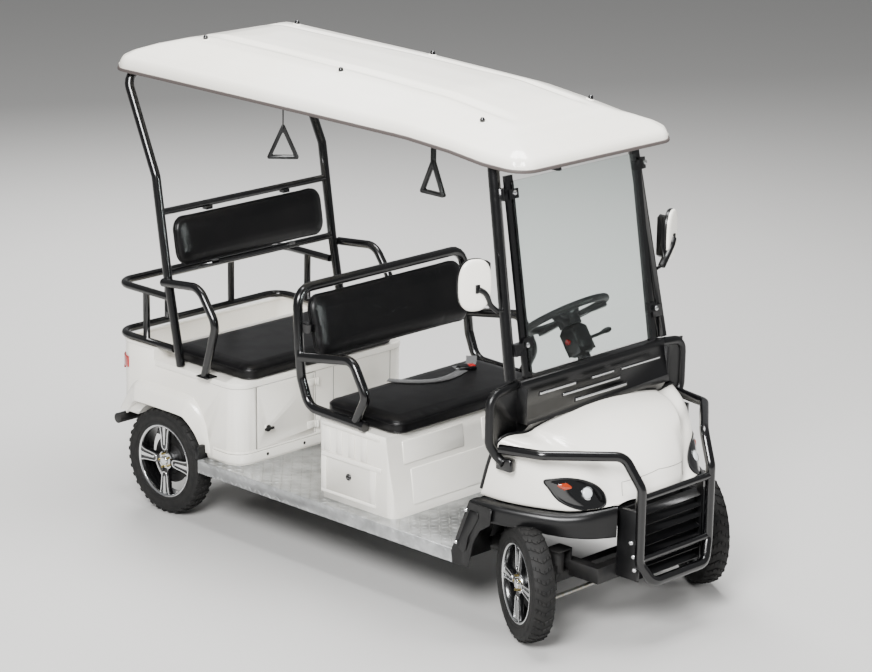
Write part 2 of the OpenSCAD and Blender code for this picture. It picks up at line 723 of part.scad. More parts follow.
module dash_cowl() color("#191a1b") {
    // sloped front panel between the glass and the hood, with its top edge turned in
    profile_y([[850, 742], [820, dash_top_z - 4], [814, dash_top_z], [780, dash_top_z], [780, dash_top_z - 5],
               [811, dash_top_z - 5], [842, 742]], -dash_half_w, dash_half_w);
    mirrored_y() {
        // wing panel out to the hoop, and the hoop itself
        profile_y([[792, 700], [799, 700], [799, 872], [792, 872]], dash_half_w - 1, hoop_y);
        block(792, 845, dash_half_w - 5, dash_half_w, 742, 870);
        bent_tube(hoop, tube_r, 48);
    }
    // inner bulkhead down to the floor
    profile_y([[floor_front_x + fit, floor_z], [floor_front_x + 6, floor_z], [706, 470], [700, 470]], -308, 308);
    profile_y([[700, 469], [706, 469], [798, 700], [798, 745], [792, 745], [792, 702]], -376, 376);
}

// ---------- mirrors, steering and cab fittings ----------

mirror_c = [720, 512, 1234];

module mirrors() color("#f4f2ec") {
    mirrored_y() {
        translate(mirror_c) rotate([0, 90, 0]) rotate([0, 0, 0]) scale([1, 1, 1])
            intersection() {
                translate([0, 0, -14]) cylinder(r = 92, h = 28, $fn = 48);
                block(-92, 92, -62, 62, -14, 14);
            }
        bent_tube([[mirror_c.x + 6, mirror_c.y - 50, mirror_c.z - 20], [748, 450, 1140], [750.3, 404.2, 1131]], 6, 30);
    }
}

wheel_hub = [500, 205, 948];
column_low = [655, 205, 716];
column_dir = unit(wheel_hub - column_low);
steering_r = 168;
column_r = 24;
column_l = 423;

module steering_column() color("#1a1b1d") {
    rod(wheel_hub - column_dir * column_l, wheel_hub - column_dir * (45 + fit), column_r);
    along(wheel_hub - column_dir * 150, wheel_hub) translate([-40, -34, 0]) cube([80, 68, 88]);
    // gear lever and red switch
    rod(wheel_hub - column_dir * 110, wheel_hub - column_dir * 110 + [20, 120, 20], 6);
}

module steering_wheel() color("#1d1e20") {
    along(wheel_hub, wheel_hub + column_dir) {
        rotate_extrude($fn = 64) translate([steering_r - 13, 0]) circle(r = 13, $fn = 24);
        translate([0, 0, -45]) cylinder(r = 42, h = 40);
        for (a = [90, 210, 330]) rotate([0, 0, a]) translate([0, -14, -24]) cube([steering_r - 16, 28, 14]);
    }
}

module pedals() color("#2a2b2c") {
    for (y = [250, 120]) {
        rod([640, y, 420], [560, y, 330], 6);
        translate([548, y - 28, 300]) rotate([0, 35, 0]) cube([8, 56, 70]);
    }
    rod([640, 90, 420], [640, 280, 420], 7);
    rod([640, 185, 420], [676.2, 185, 420], 8);
}

strap_x = [-438, 317];
strap_turn = [-44, 0];
grip_top = 1556;
grip_low = 1444;
grip_half = 50;
grip_bar = 14;
grip_depth = 13;

module grip_outline() polygon([[0, grip_top], [-grip_half, grip_low], [grip_half, grip_low]]);

// Webbing straps under the roof's long bars, each with a three-sided grip
module hand_straps() color("#151617") {
    for (i = [0 : 1]) mirrored_y() translate([strap_x[i], roof_bar_y, 0]) rotate([0, 0, strap_turn[i]]) {
        block(-2, 2, -13, 13, grip_top - 4, roof_bar(strap_x[i]).z - roof_bar_r - 2 * fit);
        rotate([90, 0, 0]) linear_extrude(grip_depth, center = true) difference() {
            offset(r = grip_bar / 2, $fn = 24) grip_outline();
            offset(r = 3, $fn = 24) offset(delta = -grip_bar / 2 - 3) grip_outline();
        }
    }
}

module seat_belt() color("#242526") {
    translate([-50, 225, front_cushion_z + cushion_t]) rotate([0, 0, -30]) cube([48, 66, 12]);
}

// ---------- wheels and steering linkage ----------

module at_steer(side) {
    translate([king_x, side * kingpin_y, 0]) rotate([0, 0, steer_rest]) children();
}

front_wheel_y = wheel_y - kingpin_y;       // from the king pin to the wheel's middle
arm_l = 85;                                // king pin to tie rod pin
tie_pin_d = 12;
tie_z = beam_z - 19;                        // middle of a steering arm
eye_h = 20;

module knuckle(side) {
    at_steer(side) {
        // king pin barrel and pin
        translate([0, 0, beam_z - ear_z + fit]) cylinder(r = 17, h = 2 * (ear_z - fit));
        translate([0, 0, beam_z - ear_z - ear_t - 3]) cylinder(d = kingpin_d, h = 2 * (ear_z + ear_t + 3));
        // stub axle
        mirror([0, side < 0 ? 1 : 0, 0]) {
            rod([0, 0, tyre_r], [0, front_wheel_y - 30, tyre_r], 15);
            rod([0, front_wheel_y - 30, tyre_r], [0, front_wheel_y + 18, tyre_r], hub_bore_d / 2);
            rod([0, front_wheel_y - 30, tyre_r], [0, front_wheel_y - 22, tyre_r], 60);
        }
        // steering arm with the pin for the tie rod
        block(0, arm_l, -10, 10, tie_z - 5, tie_z + 5);
        translate([arm_l, 0, tie_z - 5]) cylinder(r = 11, h = 10);
        translate([arm_l, 0, tie_z - 5 - eye_h - 4]) cylinder(d = tie_pin_d, h = eye_h + 5);
    }
}

module knuckle_left() color("#3a3d40") knuckle(1);
module knuckle_right() color("#3a3d40") knuckle(-1);

function tie_pin(side) = [king_x + arm_l * cos(steer_rest), side * kingpin_y + arm_l * sin(steer_rest), tie_z];

// The tie rod turns on the right arm's pin, and its left eye follows the left pin
module tie_rod() color("#8a8d90") {
    z = tie_z - 5 - fit - eye_h;
    difference() {
        union() {
            rod([tie_pin(-1).x, tie_pin(-1).y, z + eye_h / 2], [tie_pin(1).x, tie_pin(1).y, z + eye_h / 2], 8);
            for (s = [-1, 1]) translate([tie_pin(s).x, tie_pin(s).y, z]) cylinder(r = 13, h = eye_h);
        }
        for (s = [-1, 1]) translate([tie_pin(s).x, tie_pin(s).y, z - 1])
            cylinder(d = tie_pin_d + (s < 0 ? 2 * hub_gap : 1), h = eye_h + 2);
    }
}

module tyre_form() {
    // section of a narrow tyre, turned about the wheel's own axis
    half = tyre_w / 2;
    rotate([90, 0, 0]) rotate_extrude($fn = 96) polygon([
        [rim_r - 12, -half + 12], [rim_r + 3, -half + 12], [rim_r + 6, -half + 5], [tyre_r - 34, -half], [tyre_r - 14, -half + 5],
        [tyre_r - 3, -half + 16], [tyre_r, -half + 28], [tyre_r, half - 28], [tyre_r - 3, half - 16],
        [tyre_r - 14, half - 5], [tyre_r - 34, half], [rim_r + 6, half - 5], [rim_r + 3, half - 12], [rim_r - 12, half - 12]]);
}

module rim_form() {
    half = tyre_w / 2;
    seat_r = rim_r - 12 - fit;
    barrel_r = rim_r - 18;
    difference() {
        union() {
            // rim barrel, which the tyre sits on, and its two flanges
            rotate([90, 0, 0]) rotate_extrude($fn = 96) polygon([
                [barrel_r, -half + 5], [rim_r, -half + 5], [rim_r, -half + 11.5], [seat_r, -half + 11.5],
                [seat_r, half - 11.5], [rim_r, half - 11.5], [rim_r, half - 5], [barrel_r, half - 5]]);
            // hub and four spokes, outer side towards +Y
            rotate([-90, 0, 0]) translate([0, 0, -18]) cylinder(r = 42, h = 42);
            for (a = [45 : 90 : 315]) rotate([0, a, 0]) translate([30, 9, -26]) cube([barrel_r - 28, 13, 52]);
        }
        rotate([-90, 0, 0]) translate([0, 0, -19]) cylinder(d = hub_bore_d + 2 * hub_gap, h = 37 + fit);
    }
}

module rear_wheel_place(side) translate([rear_x, side * wheel_y, tyre_r]) children();
module front_wheel_place(side) at_steer(side) translate([0, side * front_wheel_y, tyre_r]) children();
module outward(side) mirror([0, side < 0 ? 1 : 0, 0]) children();

module front_left_tyre() color("#1b1b1b") front_wheel_place(1) tyre_form();
module front_right_tyre() color("#1b1b1b") front_wheel_place(-1) tyre_form();
module rear_left_tyre() color("#1b1b1b") rear_wheel_place(1) tyre_form();
module rear_right_tyre() color("#1b1b1b") rear_wheel_place(-1) tyre_form();
module front_left_rim() color("#3c3f42") front_wheel_place(1) rim_form();
module front_right_rim() color("#3c3f42") front_wheel_place(-1) outward(-1) rim_form();
module rear_left_rim() color("#3c3f42") rear_wheel_place(1) rim_form();
module rear_right_rim() color("#3c3f42") rear_wheel_place(-1) outward(-1) rim_form();

chassis_frame();
front_axle();
rear_axle();
drive_motor();
battery_pack();
floor_plate();
front_seat_box();
front_seat_cushion();
front_seat_frame();
front_seat_back();
rear_body();
rear_hatch();
rear_seat_cushion();
rear_seat_back();
rear_pillars();
rear_armrests();
rear_rails();
tail_lamps();
roof();
roof_frame();
front_pillars();
windscreen();
dash_cowl();
front_hood();
front_fenders();
headlamps();
front_guard();
grille();
mirrors();
steering_column();
steering_wheel();
pedals();
hand_straps();
seat_belt();
knuckle_left();
knuckle_right();
tie_rod();
front_left_tyre();
front_right_tyre();
rear_left_tyre();
rear_right_tyre();
front_left_rim();
front_right_rim();
rear_left_rim();
rear_right_rim();
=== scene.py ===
import json
import math
import bmesh
import bpy
from mathutils import Matrix, Vector
from mathutils.bvhtree import BVHTree


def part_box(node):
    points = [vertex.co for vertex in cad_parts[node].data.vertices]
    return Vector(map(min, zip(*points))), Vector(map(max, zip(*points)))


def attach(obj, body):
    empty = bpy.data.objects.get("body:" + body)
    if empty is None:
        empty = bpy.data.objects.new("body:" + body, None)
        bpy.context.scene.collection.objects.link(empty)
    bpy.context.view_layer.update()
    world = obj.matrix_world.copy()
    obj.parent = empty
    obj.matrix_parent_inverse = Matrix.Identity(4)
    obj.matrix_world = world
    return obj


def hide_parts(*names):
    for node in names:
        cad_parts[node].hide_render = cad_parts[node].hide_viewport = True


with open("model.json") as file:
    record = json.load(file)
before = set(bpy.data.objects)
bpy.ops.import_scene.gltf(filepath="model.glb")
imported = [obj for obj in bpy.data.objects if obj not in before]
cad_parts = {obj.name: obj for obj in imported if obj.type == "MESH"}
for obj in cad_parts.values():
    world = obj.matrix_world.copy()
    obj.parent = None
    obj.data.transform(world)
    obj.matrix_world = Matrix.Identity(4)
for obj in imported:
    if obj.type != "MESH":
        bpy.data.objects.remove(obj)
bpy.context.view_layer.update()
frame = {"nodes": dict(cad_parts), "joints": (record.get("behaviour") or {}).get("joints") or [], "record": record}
joints = {joint["name"]: joint for joint in frame["joints"]}
print("frame loaded:", len(frame["nodes"]), "nodes")

# The cart's own places, in metres: +X forward, +Y to its left, +Z up
cart = {
    "frontAxleX": joints["steer_left"]["pos_m"][0],
    "rearAxleX": joints["rear_left_spin"]["pos_m"][0],
    "axleZ": joints["rear_left_spin"]["pos_m"][2],
    "floorZ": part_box("floor_plate")[1].z,
    "restSteer": math.radians(-28),
}


# shapes

def mm(*values):
    return Vector(values) * 0.001


def lerp(a, b, t):
    return a + (b - a) * t


def tableValue(table, x):
    if x <= table[0][0]:
        return table[0][1]
    for (x0, y0), (x1, y1) in zip(table, table[1:]):
        if x <= x1:
            return y0 + (y1 - y0) * (x - x0) / (x1 - x0)
    return table[-1][1]


def curveThrough(points, steps, closed=False):
    # smooth line through points, a fixed number of steps from each to the next
    out, count = [], len(points)
    spans = count if closed else count - 1
    for i in range(spans):
        pick = (lambda k: points[k % count]) if closed else (lambda k: points[min(max(k, 0), count - 1)])
        p0, p1, p2, p3 = pick(i - 1), pick(i), pick(i + 1), pick(i + 2)
        for k in range(steps):
            t = k / steps
            out.append(0.5 * (2 * p1 + (p2 - p0) * t + (2 * p0 - 5 * p1 + 4 * p2 - p3) * t * t
                              + (3 * p1 - p0 - 3 * p2 + p3) * t ** 3))
    if not closed:
        out.append(points[-1].copy())
    return out


def bentPath(points, bend, steps=7):
    # straight runs with each inner corner turned into an arc
    out = [points[0]]
    for a, b, c in zip(points, points[1:], points[2:]):
        d, e = (b - a).normalized(), (c - b).normalized()
        angle = d.angle(e)
        if angle < 0.01:
            out.append(b)
            continue
        cut = min(bend * math.tan(angle / 2), (b - a).length * 0.49, (c - b).length * 0.49)
        radius = cut / math.tan(angle / 2)
        inward = (e - d * d.dot(e)).normalized()
        centre = b - d * cut + inward * radius
        for k in range(steps + 1):
            t = angle * k / steps
            out.append(centre - inward * radius * math.cos(t) + d * radius * math.sin(t))
    return out + [points[-1]]


def skin(bm, rings, closedRing=True, capped=True, loop=False):
    # quads between rings of equally many points
    rows = [[bm.verts.new(p) for p in ring] for ring in rings]
    pairs = list(zip(rows, rows[1:])) + ([(rows[-1], rows[0])] if loop else [])
    for a, b in pairs:
        count = len(a)
        for i in range(count if closedRing else count - 1):
            j = (i + 1) % count
            bm.faces.new((a[i], a[j], b[j], b[i]))
    if capped and closedRing and not loop:
        bm.faces.new(list(reversed(rows[0])))
        bm.faces.new(rows[-1])
    return rows


def sweep(bm, path, outline, up=None, closed=False):
    # carries an outline of (side, up) pairs along a path; up stays fixed when it is given
    rings, side = [], None
    count = len(path)
    for i, p in enumerate(path):
        before = path[(i - 1) % count] if closed or i else path[0]
        after = path[(i + 1) % count] if closed or i < count - 1 else path[-1]
        d = (after - before).normalized()
        if up is not None:
            side = d.cross(up).normalized()
        elif side is None:
            side = d.cross(Vector((0, 1, 0)) if abs(d.z) > 0.9 else Vector((0, 0, 1))).normalized()
        else:
            side = (side - d * d.dot(side)).normalized()
        top = side.cross(d)
        rings.append([p + side * a + top * b for a, b in outline])
    skin(bm, rings, loop=closed)


def roundOutline(radius, sides=20, flat=1.0):
    return [(radius * math.cos(2 * math.pi * k / sides), radius * flat * math.sin(2 * math.pi * k / sides))
            for k in range(sides)]


def boxOutline(width, height, corner):
    w, h, out = width / 2 - corner, height / 2 - corner, []
    for q, (x, y) in enumerate(((w, h), (-w, h), (-w, -h), (w, -h))):
        for k in range(4):
            t = math.radians(90 * q + 30 * k)
            out.append((x + corner * math.cos(t), y + corner * math.sin(t)))
    return out


def lathe(bm, profile, turns=96):
    # profile of (radius, y) pairs turned about the Y axis, outer side towards +Y
    rings = []
    for k in range(turns):
        t = 2 * math.pi * k / turns
        rings.append([Vector((r * math.cos(t), y, r * math.sin(t))) for r, y in profile])
    skin(bm, rings, closedRing=True, loop=True)


def addBox(bm, low, high, turn=None):
    made = bmesh.ops.create_cube(bm, size=1)["verts"]
    size, middle = high - low, (low + high) / 2
    for v in made:
        v.co = Vector((v.co.x * size.x, v.co.y * size.y, v.co.z * size.z))
        if turn is not None:
            v.co = turn @ v.co
        v.co += middle
    return made


def prism(bm, outline, depth, place):
    # flat outline with a thickness: x and y of the outline, 0 to depth along z, then placed
    low = [bm.verts.new(place @ Vector((x, y, 0))) for x, y in outline]
    high = [bm.verts.new(place @ Vector((x, y, depth))) for x, y in outline]
    count = len(outline)
    for i in range(count):
        j = (i + 1) % count
        bm.faces.new((low[i], low[j], high[j], high[i]))
    bm.faces.new(list(reversed(low)))
    bm.faces.new(high)


def newObject(name, bm, tidyNormals=True):
    if tidyNormals:
        bmesh.ops.remove_doubles(bm, verts=bm.verts, dist=1e-6)
        bmesh.ops.recalc_face_normals(bm, faces=bm.faces)
    mesh = bpy.data.meshes.new(name)
    bm.to_mesh(mesh)
    bm.free()
    obj = bpy.data.objects.new(name, mesh)
    bpy.context.scene.collection.objects.link(obj)
    return obj


def applied(obj, *modifiers):
    # adds the modifiers given as (kind, settings), and keeps only their result
    for kind, settings in modifiers:
        modifier = obj.modifiers.new(kind.lower(), kind)
        for key, value in settings.items():
            setattr(modifier, key, value)
    bpy.context.view_layer.update()
    graph = bpy.context.evaluated_depsgraph_get()
    mesh = bpy.data.meshes.new_from_object(obj.evaluated_get(graph))
    obj.modifiers.clear()
    obj.data = mesh
    return obj


def softEdges(obj, width=0.002, segments=2, angle=35):
    return applied(obj, ("BEVEL", {"width": width, "segments": segments, "limit_method": "ANGLE",
                                   "angle_limit": math.radians(angle), "use_clamp_overlap": True,
                                   "harden_normals": True}))


def finishPiece(obj, body, finish, hides=(), smooth=35):
    if finish is not None:
        obj.data.materials.clear()
        obj.data.materials.append(finish)
    obj.data.shade_smooth()
    obj.data.set_sharp_from_angle(angle=math.radians(smooth))
    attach(obj, body)
    if hides:
        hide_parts(*hides)
    return obj


def copyOfNode(node, name, dropped=None):
    # a merged copy of a CAD node's mesh, without the points that dropped() names
    bm = bmesh.new()
    bm.from_mesh(frame["nodes"][node].data)
    bmesh.ops.remove_doubles(bm, verts=bm.verts, dist=2e-5)
    if dropped is not None:
        bmesh.ops.delete(bm, geom=[v for v in bm.verts if dropped(v.co)], context="VERTS")
    bmesh.ops.dissolve_limit(bm, angle_limit=math.radians(1), verts=bm.verts, edges=bm.edges)
    return newObject(name, bm, tidyNormals=False)


def bodyOf(node):
    return next(body for body, nodes in frame["record"]["behaviour"]["bodies"].items() if node in nodes)


# geometry node trees for what repeats

def addNode(tree, kind, settings=None, links=None):
    node = tree.nodes.new(kind)
    for key, value in (settings or {}).items():
        if isinstance(key, str) and hasattr(node, key):
            setattr(node, key, value)
        else:
            node.inputs[key].default_value = value
    for socket, source in (links or {}).items():
        tree.links.new(source, node.inputs[socket])
    return node


def newTree(name, inputs):
    tree = bpy.data.node_groups.new(name, "GeometryNodeTree")
    tree.interface.new_socket("Geometry", in_out="INPUT", socket_type="NodeSocketGeometry")
    tree.interface.new_socket("Geometry", in_out="OUTPUT", socket_type="NodeSocketGeometry")
    for label, kind in inputs:
        tree.interface.new_socket(label, in_out="INPUT", socket_type="NodeSocket" + kind)
    return tree, addNode(tree, "NodeGroupInput").outputs, addNode(tree, "NodeGroupOutput")


def endTree(tree, geometry, finish, output):
    real = addNode(tree, "GeometryNodeRealizeInstances", links={0: geometry})
    dressed = addNode(tree, "GeometryNodeSetMaterial",
                      links={"Geometry": real.outputs[0], "Material": finish})
    tree.links.new(dressed.outputs[0], output.inputs[0])


def ringTree():
    # copies of a piece round the Z axis, each turned to face out along its own X
    tree, given, output = newTree("Copies round a ring", [("Piece", "Object"), ("Count", "Int"),
                                                          ("Radius", "Float"), ("Finish", "Material")])
    ring = addNode(tree, "GeometryNodeMeshCircle",
                   links={"Vertices": given["Count"], "Radius": given["Radius"]})
    step = addNode(tree, "ShaderNodeMath", {"operation": "DIVIDE", 0: 2 * math.pi}, {1: given["Count"]})
    index = addNode(tree, "GeometryNodeInputIndex")
    turn = addNode(tree, "ShaderNodeMath", {"operation": "MULTIPLY"},
                   {0: index.outputs[0], 1: step.outputs[0]})
    angles = addNode(tree, "ShaderNodeCombineXYZ", links={2: turn.outputs[0]})
    piece = addNode(tree, "GeometryNodeObjectInfo", links={"Object": given["Piece"]})
    placed = addNode(tree, "GeometryNodeInstanceOnPoints", links={
        "Points": ring.outputs[0], "Instance": piece.outputs["Geometry"], "Rotation": angles.outputs[0]})
    endTree(tree, placed.outputs[0], given["Finish"], output)
    return tree


def rowTree():
    # copies of a piece along a straight row
    tree, given, output = newTree("Copies in a row", [("Piece", "Object"), ("Count", "Int"),
                                                      ("Step", "Vector"), ("Finish", "Material")])
    line = addNode(tree, "GeometryNodeMeshLine", links={"Count": given["Count"], "Offset": given["Step"]})
    piece = addNode(tree, "GeometryNodeObjectInfo", links={"Object": given["Piece"]})
    placed = addNode(tree, "GeometryNodeInstanceOnPoints", links={
        "Points": line.outputs[0], "Instance": piece.outputs["Geometry"]})
    endTree(tree, placed.outputs[0], given["Finish"], output)
    return tree


def pointsTree():
    # copies of a piece on the points of the object's own mesh, turned by its attribute "turn"
    tree, given, output = newTree("Copies on points", [("Piece", "Object"), ("Size", "Float"),
                                                       ("Finish", "Material")])
    turn = addNode(tree, "GeometryNodeInputNamedAttribute", {"data_type": "FLOAT_VECTOR", "Name": "turn"})
    piece = addNode(tree, "GeometryNodeObjectInfo", links={"Object": given["Piece"]})
    placed = addNode(tree, "GeometryNodeInstanceOnPoints", links={
        "Points": given["Geometry"], "Instance": piece.outputs["Geometry"], "Rotation": turn.outputs[0],
        "Scale": given["Size"]})
    endTree(tree, placed.outputs[0], given["Finish"], output)
    return tree


def treadPlateTree():
    # rows of raised bars, each turned a right angle from its neighbours
    tree, given, output = newTree("Tread plate bars",
                                  [("Piece", "Object"), ("Length", "Float"), ("Width", "Float"),
                                                       ("Columns", "Int"), ("Rows", "Int"),
                                                       ("Finish", "Material")])
    grid = addNode(tree, "GeometryNodeMeshGrid", links={
        "Size X": given["Length"], "Size Y": given["Width"], "Vertices X": given["Columns"],
        "Vertices Y": given["Rows"]})
    index = addNode(tree, "GeometryNodeInputIndex")
    row = addNode(tree, "ShaderNodeMath", {"operation": "DIVIDE"}, {0: index.outputs[0], 1: given["Rows"]})
    whole = addNode(tree, "ShaderNodeMath", {"operation": "FLOOR"}, {0: row.outputs[0]})
    place = addNode(tree, "ShaderNodeMath", {"operation": "MODULO"}, {0: index.outputs[0], 1: given["Rows"]})
    both = addNode(tree, "ShaderNodeMath", {"operation": "ADD"}, {0: whole.outputs[0], 1: place.outputs[0]})
    odd = addNode(tree, "ShaderNodeMath", {"operation": "MODULO", 1: 2.0}, {0: both.outputs[0]})
    turn = addNode(tree, "ShaderNodeMath", {"operation": "MULTIPLY_ADD", 1: math.pi / 2, 2: math.pi / 4},
                   {0: odd.outputs[0]})
    angles = addNode(tree, "ShaderNodeCombineXYZ", links={2: turn.outputs[0]})
    piece = addNode(tree, "GeometryNodeObjectInfo", links={"Object": given["Piece"]})
    placed = addNode(tree, "GeometryNodeInstanceOnPoints", links={
        "Points": grid.outputs[0], "Instance": piece.outputs["Geometry"], "Rotation": angles.outputs[0]})
    endTree(tree, placed.outputs[0], given["Finish"], output)
    return tree


trees = {"ring": ringTree(), "row": rowTree(), "points": pointsTree(), "treadPlate": treadPlateTree()}


def grown(name, tree, piece, finish, values, base=None, place=None):
    # runs a tree, and keeps its result as a plain mesh; piece is removed
    host = base or newObject(name, bmesh.new())
    modifier = host.modifiers.new("copies", "NODES")
    modifier.node_group = trees[tree]
    sockets = {item.name: item.identifier for item in trees[tree].interface.items_tree
               if item.item_type == "SOCKET" and item.in_out == "INPUT"}
    for label, value in {"Piece": piece, "Finish": finish, **values}.items():
        modifier[sockets[label]] = value
    applied(host)
    host.name = name
    bpy.data.objects.remove(piece)
    if place is not None:
        host.data.transform(place)
    return host


def pointCloud(name, spots):
    # points with a direction each, which the copies' own Z follows
    mesh = bpy.data.meshes.new(name)
    mesh.from_pydata([spot for spot, facing in spots], [], [])
    turns = mesh.attributes.new("turn", "FLOAT_VECTOR", "POINT")
    for i, (spot, facing) in enumerate(spots):
        turns.data[i].vector = Vector(facing).to_track_quat("Z", "Y").to_euler()
    obj = bpy.data.objects.new(name, mesh)
    bpy.context.scene.collection.objects.link(obj)
    return obj


# finishes

def hexColour(text):
    parts = [int(text[i:i + 2], 16) / 255 for i in (1, 3, 5)]
    return tuple(c / 12.92 if c <= 0.04045 else ((c + 0.055) / 1.055) ** 2.4 for c in parts) + (1.0,)


def startFinish(name, colour, roughness, metallic=0.0, **sockets):
    # a material with its plain values set, and its tree, shader and object coordinates in metres
    material = bpy.data.materials.new(name)
    material.use_nodes = True
    tree = material.node_tree
    shader = tree.nodes["Principled BSDF"]
    shader.inputs["Base Color"].default_value = hexColour(colour)
    shader.inputs["Roughness"].default_value = roughness
    shader.inputs["Metallic"].default_value = metallic
    for label, value in sockets.items():
        shader.inputs[label.replace("_", " ")].default_value = value
    coords = addNode(tree, "ShaderNodeTexCoord").outputs["Object"]
    return material, tree, shader, coords


def perMetre(sizeMm):
    return 1000 / sizeMm


def addGrain(tree, shader, coords, sizeMm, depthMm, kind="ShaderNodeTexNoise", strength=1.0):
    # a fine surface relief of one real size
    if kind == "ShaderNodeTexNoise":
        pattern = addNode(tree, kind, {"Scale": perMetre(sizeMm), "Detail": 3.0},
                          {"Vector": coords}).outputs[0]
    else:
        pattern = addNode(tree, kind, {"Scale": perMetre(sizeMm), "feature": "SMOOTH_F1"},
                          {"Vector": coords}).outputs["Distance"]
    bump = addNode(tree, "ShaderNodeBump", {"Strength": strength, "Distance": depthMm * 0.001},
                   {"Height": pattern})
    tree.links.new(bump.outputs[0], shader.inputs["Normal"])
    return pattern


def varyColour(tree, shader, coords, sizeMm, first, second):
    # slow drift between two near colours
    cloud = addNode(tree, "ShaderNodeTexNoise", {"Scale": perMetre(sizeMm), "Detail": 4.0},
                    {"Vector": coords})
    ramp = addNode(tree, "ShaderNodeValToRGB", links={0: cloud.outputs[0]})
    ramp.color_ramp.elements[0].position, ramp.color_ramp.elements[1].position = 0.35, 0.68
    ramp.color_ramp.elements[0].color, ramp.color_ramp.elements[1].color = hexColour(first), hexColour(second)
    tree.links.new(ramp.outputs[0], shader.inputs["Base Color"])


def varyRoughness(tree, shader, coords, sizeMm, low, high):
    cloud = addNode(tree, "ShaderNodeTexNoise", {"Scale": perMetre(sizeMm), "Detail": 5.0},
                    {"Vector": coords})
    spread = addNode(tree, "ShaderNodeMapRange", {"To Min": low, "To Max": high}, {"Value": cloud.outputs[0]})
    tree.links.new(spread.outputs[0], shader.inputs["Roughness"])


def bodyGelCoat():
    # moulded glass fibre with a white gel coat: warm white, glossy, with the mould's slight waviness
    material, tree, shader, coords = startFinish("White gel coat", "#F1EEE6", 0.22, Coat_Weight=0.35,
                                                 Coat_Roughness=0.08)
    varyColour(tree, shader, coords, 420, "#F3F0E8", "#ECE8DE")
    varyRoughness(tree, shader, coords, 60, 0.16, 0.30)
    addGrain(tree, shader, coords, 26, 0.10)
    return material


def roofGelCoat():
    # the roof's gel coat, a little creamier, long soft reflections
    material, tree, shader, coords = startFinish("Cream gel coat", "#F6F3EA", 0.18, Coat_Weight=0.45,
                                                 Coat_Roughness=0.06)
    varyColour(tree, shader, coords, 600, "#F8F5ED", "#F0ECE1")
    varyRoughness(tree, shader, coords, 90, 0.12, 0.24)
    addGrain(tree, shader, coords, 38, 0.14)
    return material


def glossPowderCoat():
    # gloss black powder coat on bent steel tube: a shallow orange peel breaks its long highlights
    material, tree, shader, coords = startFinish("Gloss black powder coat", "#060607", 0.17, Coat_Weight=0.3,
                                                 Coat_Roughness=0.07)
    varyRoughness(tree, shader, coords, 22, 0.14, 0.3)
    addGrain(tree, shader, coords, 3.2, 0.05)
    return material


def chassisPaint():
    # satin black chassis paint, dusty where the road reaches it
    material, tree, shader, coords = startFinish("Satin chassis paint", "#0C0C0D", 0.5)
    varyColour(tree, shader, coords, 45, "#0A0A0B", "#191817")
    varyRoughness(tree, shader, coords, 30, 0.4, 0.68)
    addGrain(tree, shader, coords, 2.5, 0.08)
    return material


def blackLeatherette():
    # PVC leatherette over foam: pebbled grain about 1.6 mm across with a soft satin sheen
    material, tree, shader, coords = startFinish("Black PVC leatherette", "#060607", 0.34, Sheen_Weight=0.03,
                                                 Sheen_Roughness=0.4, Specular_IOR_Level=0.26)
    varyColour(tree, shader, coords, 130, "#050506", "#0B0A0B")
    varyRoughness(tree, shader, coords, 70, 0.27, 0.42)
    addGrain(tree, shader, coords, 2.2, 0.16, "ShaderNodeTexVoronoi", 0.7)
    return material


def blackPolypropylene():
    # moulded polypropylene with a fine spark-eroded texture, satin black
    material, tree, shader, coords = startFinish("Black moulded polypropylene", "#080809", 0.34,
                                                 Specular_IOR_Level=0.4)
    varyRoughness(tree, shader, coords, 50, 0.26, 0.42)
    addGrain(tree, shader, coords, 1.6, 0.06)
    return material


def treadAluminium():
    # bright rolled aluminium tread plate with walked-on scuffs
    material, tree, shader, coords = startFinish("Rolled aluminium tread plate", "#C9CBCC", 0.34,
                                                 metallic=1.0)
    varyColour(tree, shader, coords, 70, "#D2D4D5", "#A9ABAC")
    varyRoughness(tree, shader, coords, 14, 0.24, 0.5)
    addGrain(tree, shader, coords, 1.2, 0.03)
    return material


def machinedAluminium():
    # turned and clear-lacquered rim face: bright, with fine turning marks
    material, tree, shader, coords = startFinish("Machined aluminium", "#D9DADB", 0.2, metallic=1.0)
    varyRoughness(tree, shader, coords, 6, 0.12, 0.3)
    addGrain(tree, shader, coords, 0.9, 0.02)
    return material


def glossRimPaint():
    # gloss black lacquer over cast alloy
    material, tree, shader, coords = startFinish("Black rim lacquer", "#0C0C0D", 0.18, Coat_Weight=0.5,
                                                 Coat_Roughness=0.06)
    varyRoughness(tree, shader, coords, 25, 0.12, 0.28)
    addGrain(tree, shader, coords, 4, 0.05)
    return material


def chromePlate():
    # bright chrome on steel, slightly clouded
    material, tree, shader, coords = startFinish("Chrome plate", "#E2E3E4", 0.08, metallic=1.0)
    varyRoughness(tree, shader, coords, 12, 0.04, 0.16)
    return material


def zincSteel():
    # zinc-plated bolts and rods, grey-blue with a faint yellow passivation
    material, tree, shader, coords = startFinish("Zinc-plated steel", "#A9ABAE", 0.36, metallic=1.0)
    varyColour(tree, shader, coords, 9, "#AEB1B5", "#A79F86")
    varyRoughness(tree, shader, coords, 5, 0.26, 0.5)
    return material


def goldZinc():
    # yellow-passivated wheel nuts
    material, tree, shader, coords = startFinish("Yellow zinc", "#9C8A4E", 0.33, metallic=1.0)
    varyColour(tree, shader, coords, 6, "#A8945A", "#857A4C")
    varyRoughness(tree, shader, coords, 4, 0.25, 0.45)
    return material


def castMetal():
    # bare cast and machined drive parts, grey and matt
    material, tree, shader, coords = startFinish("Grey cast metal", "#5B5D60", 0.55, metallic=0.8)
    varyColour(tree, shader, coords, 20, "#606266", "#494A4C")
    addGrain(tree, shader, coords, 1.5, 0.12)
    return material


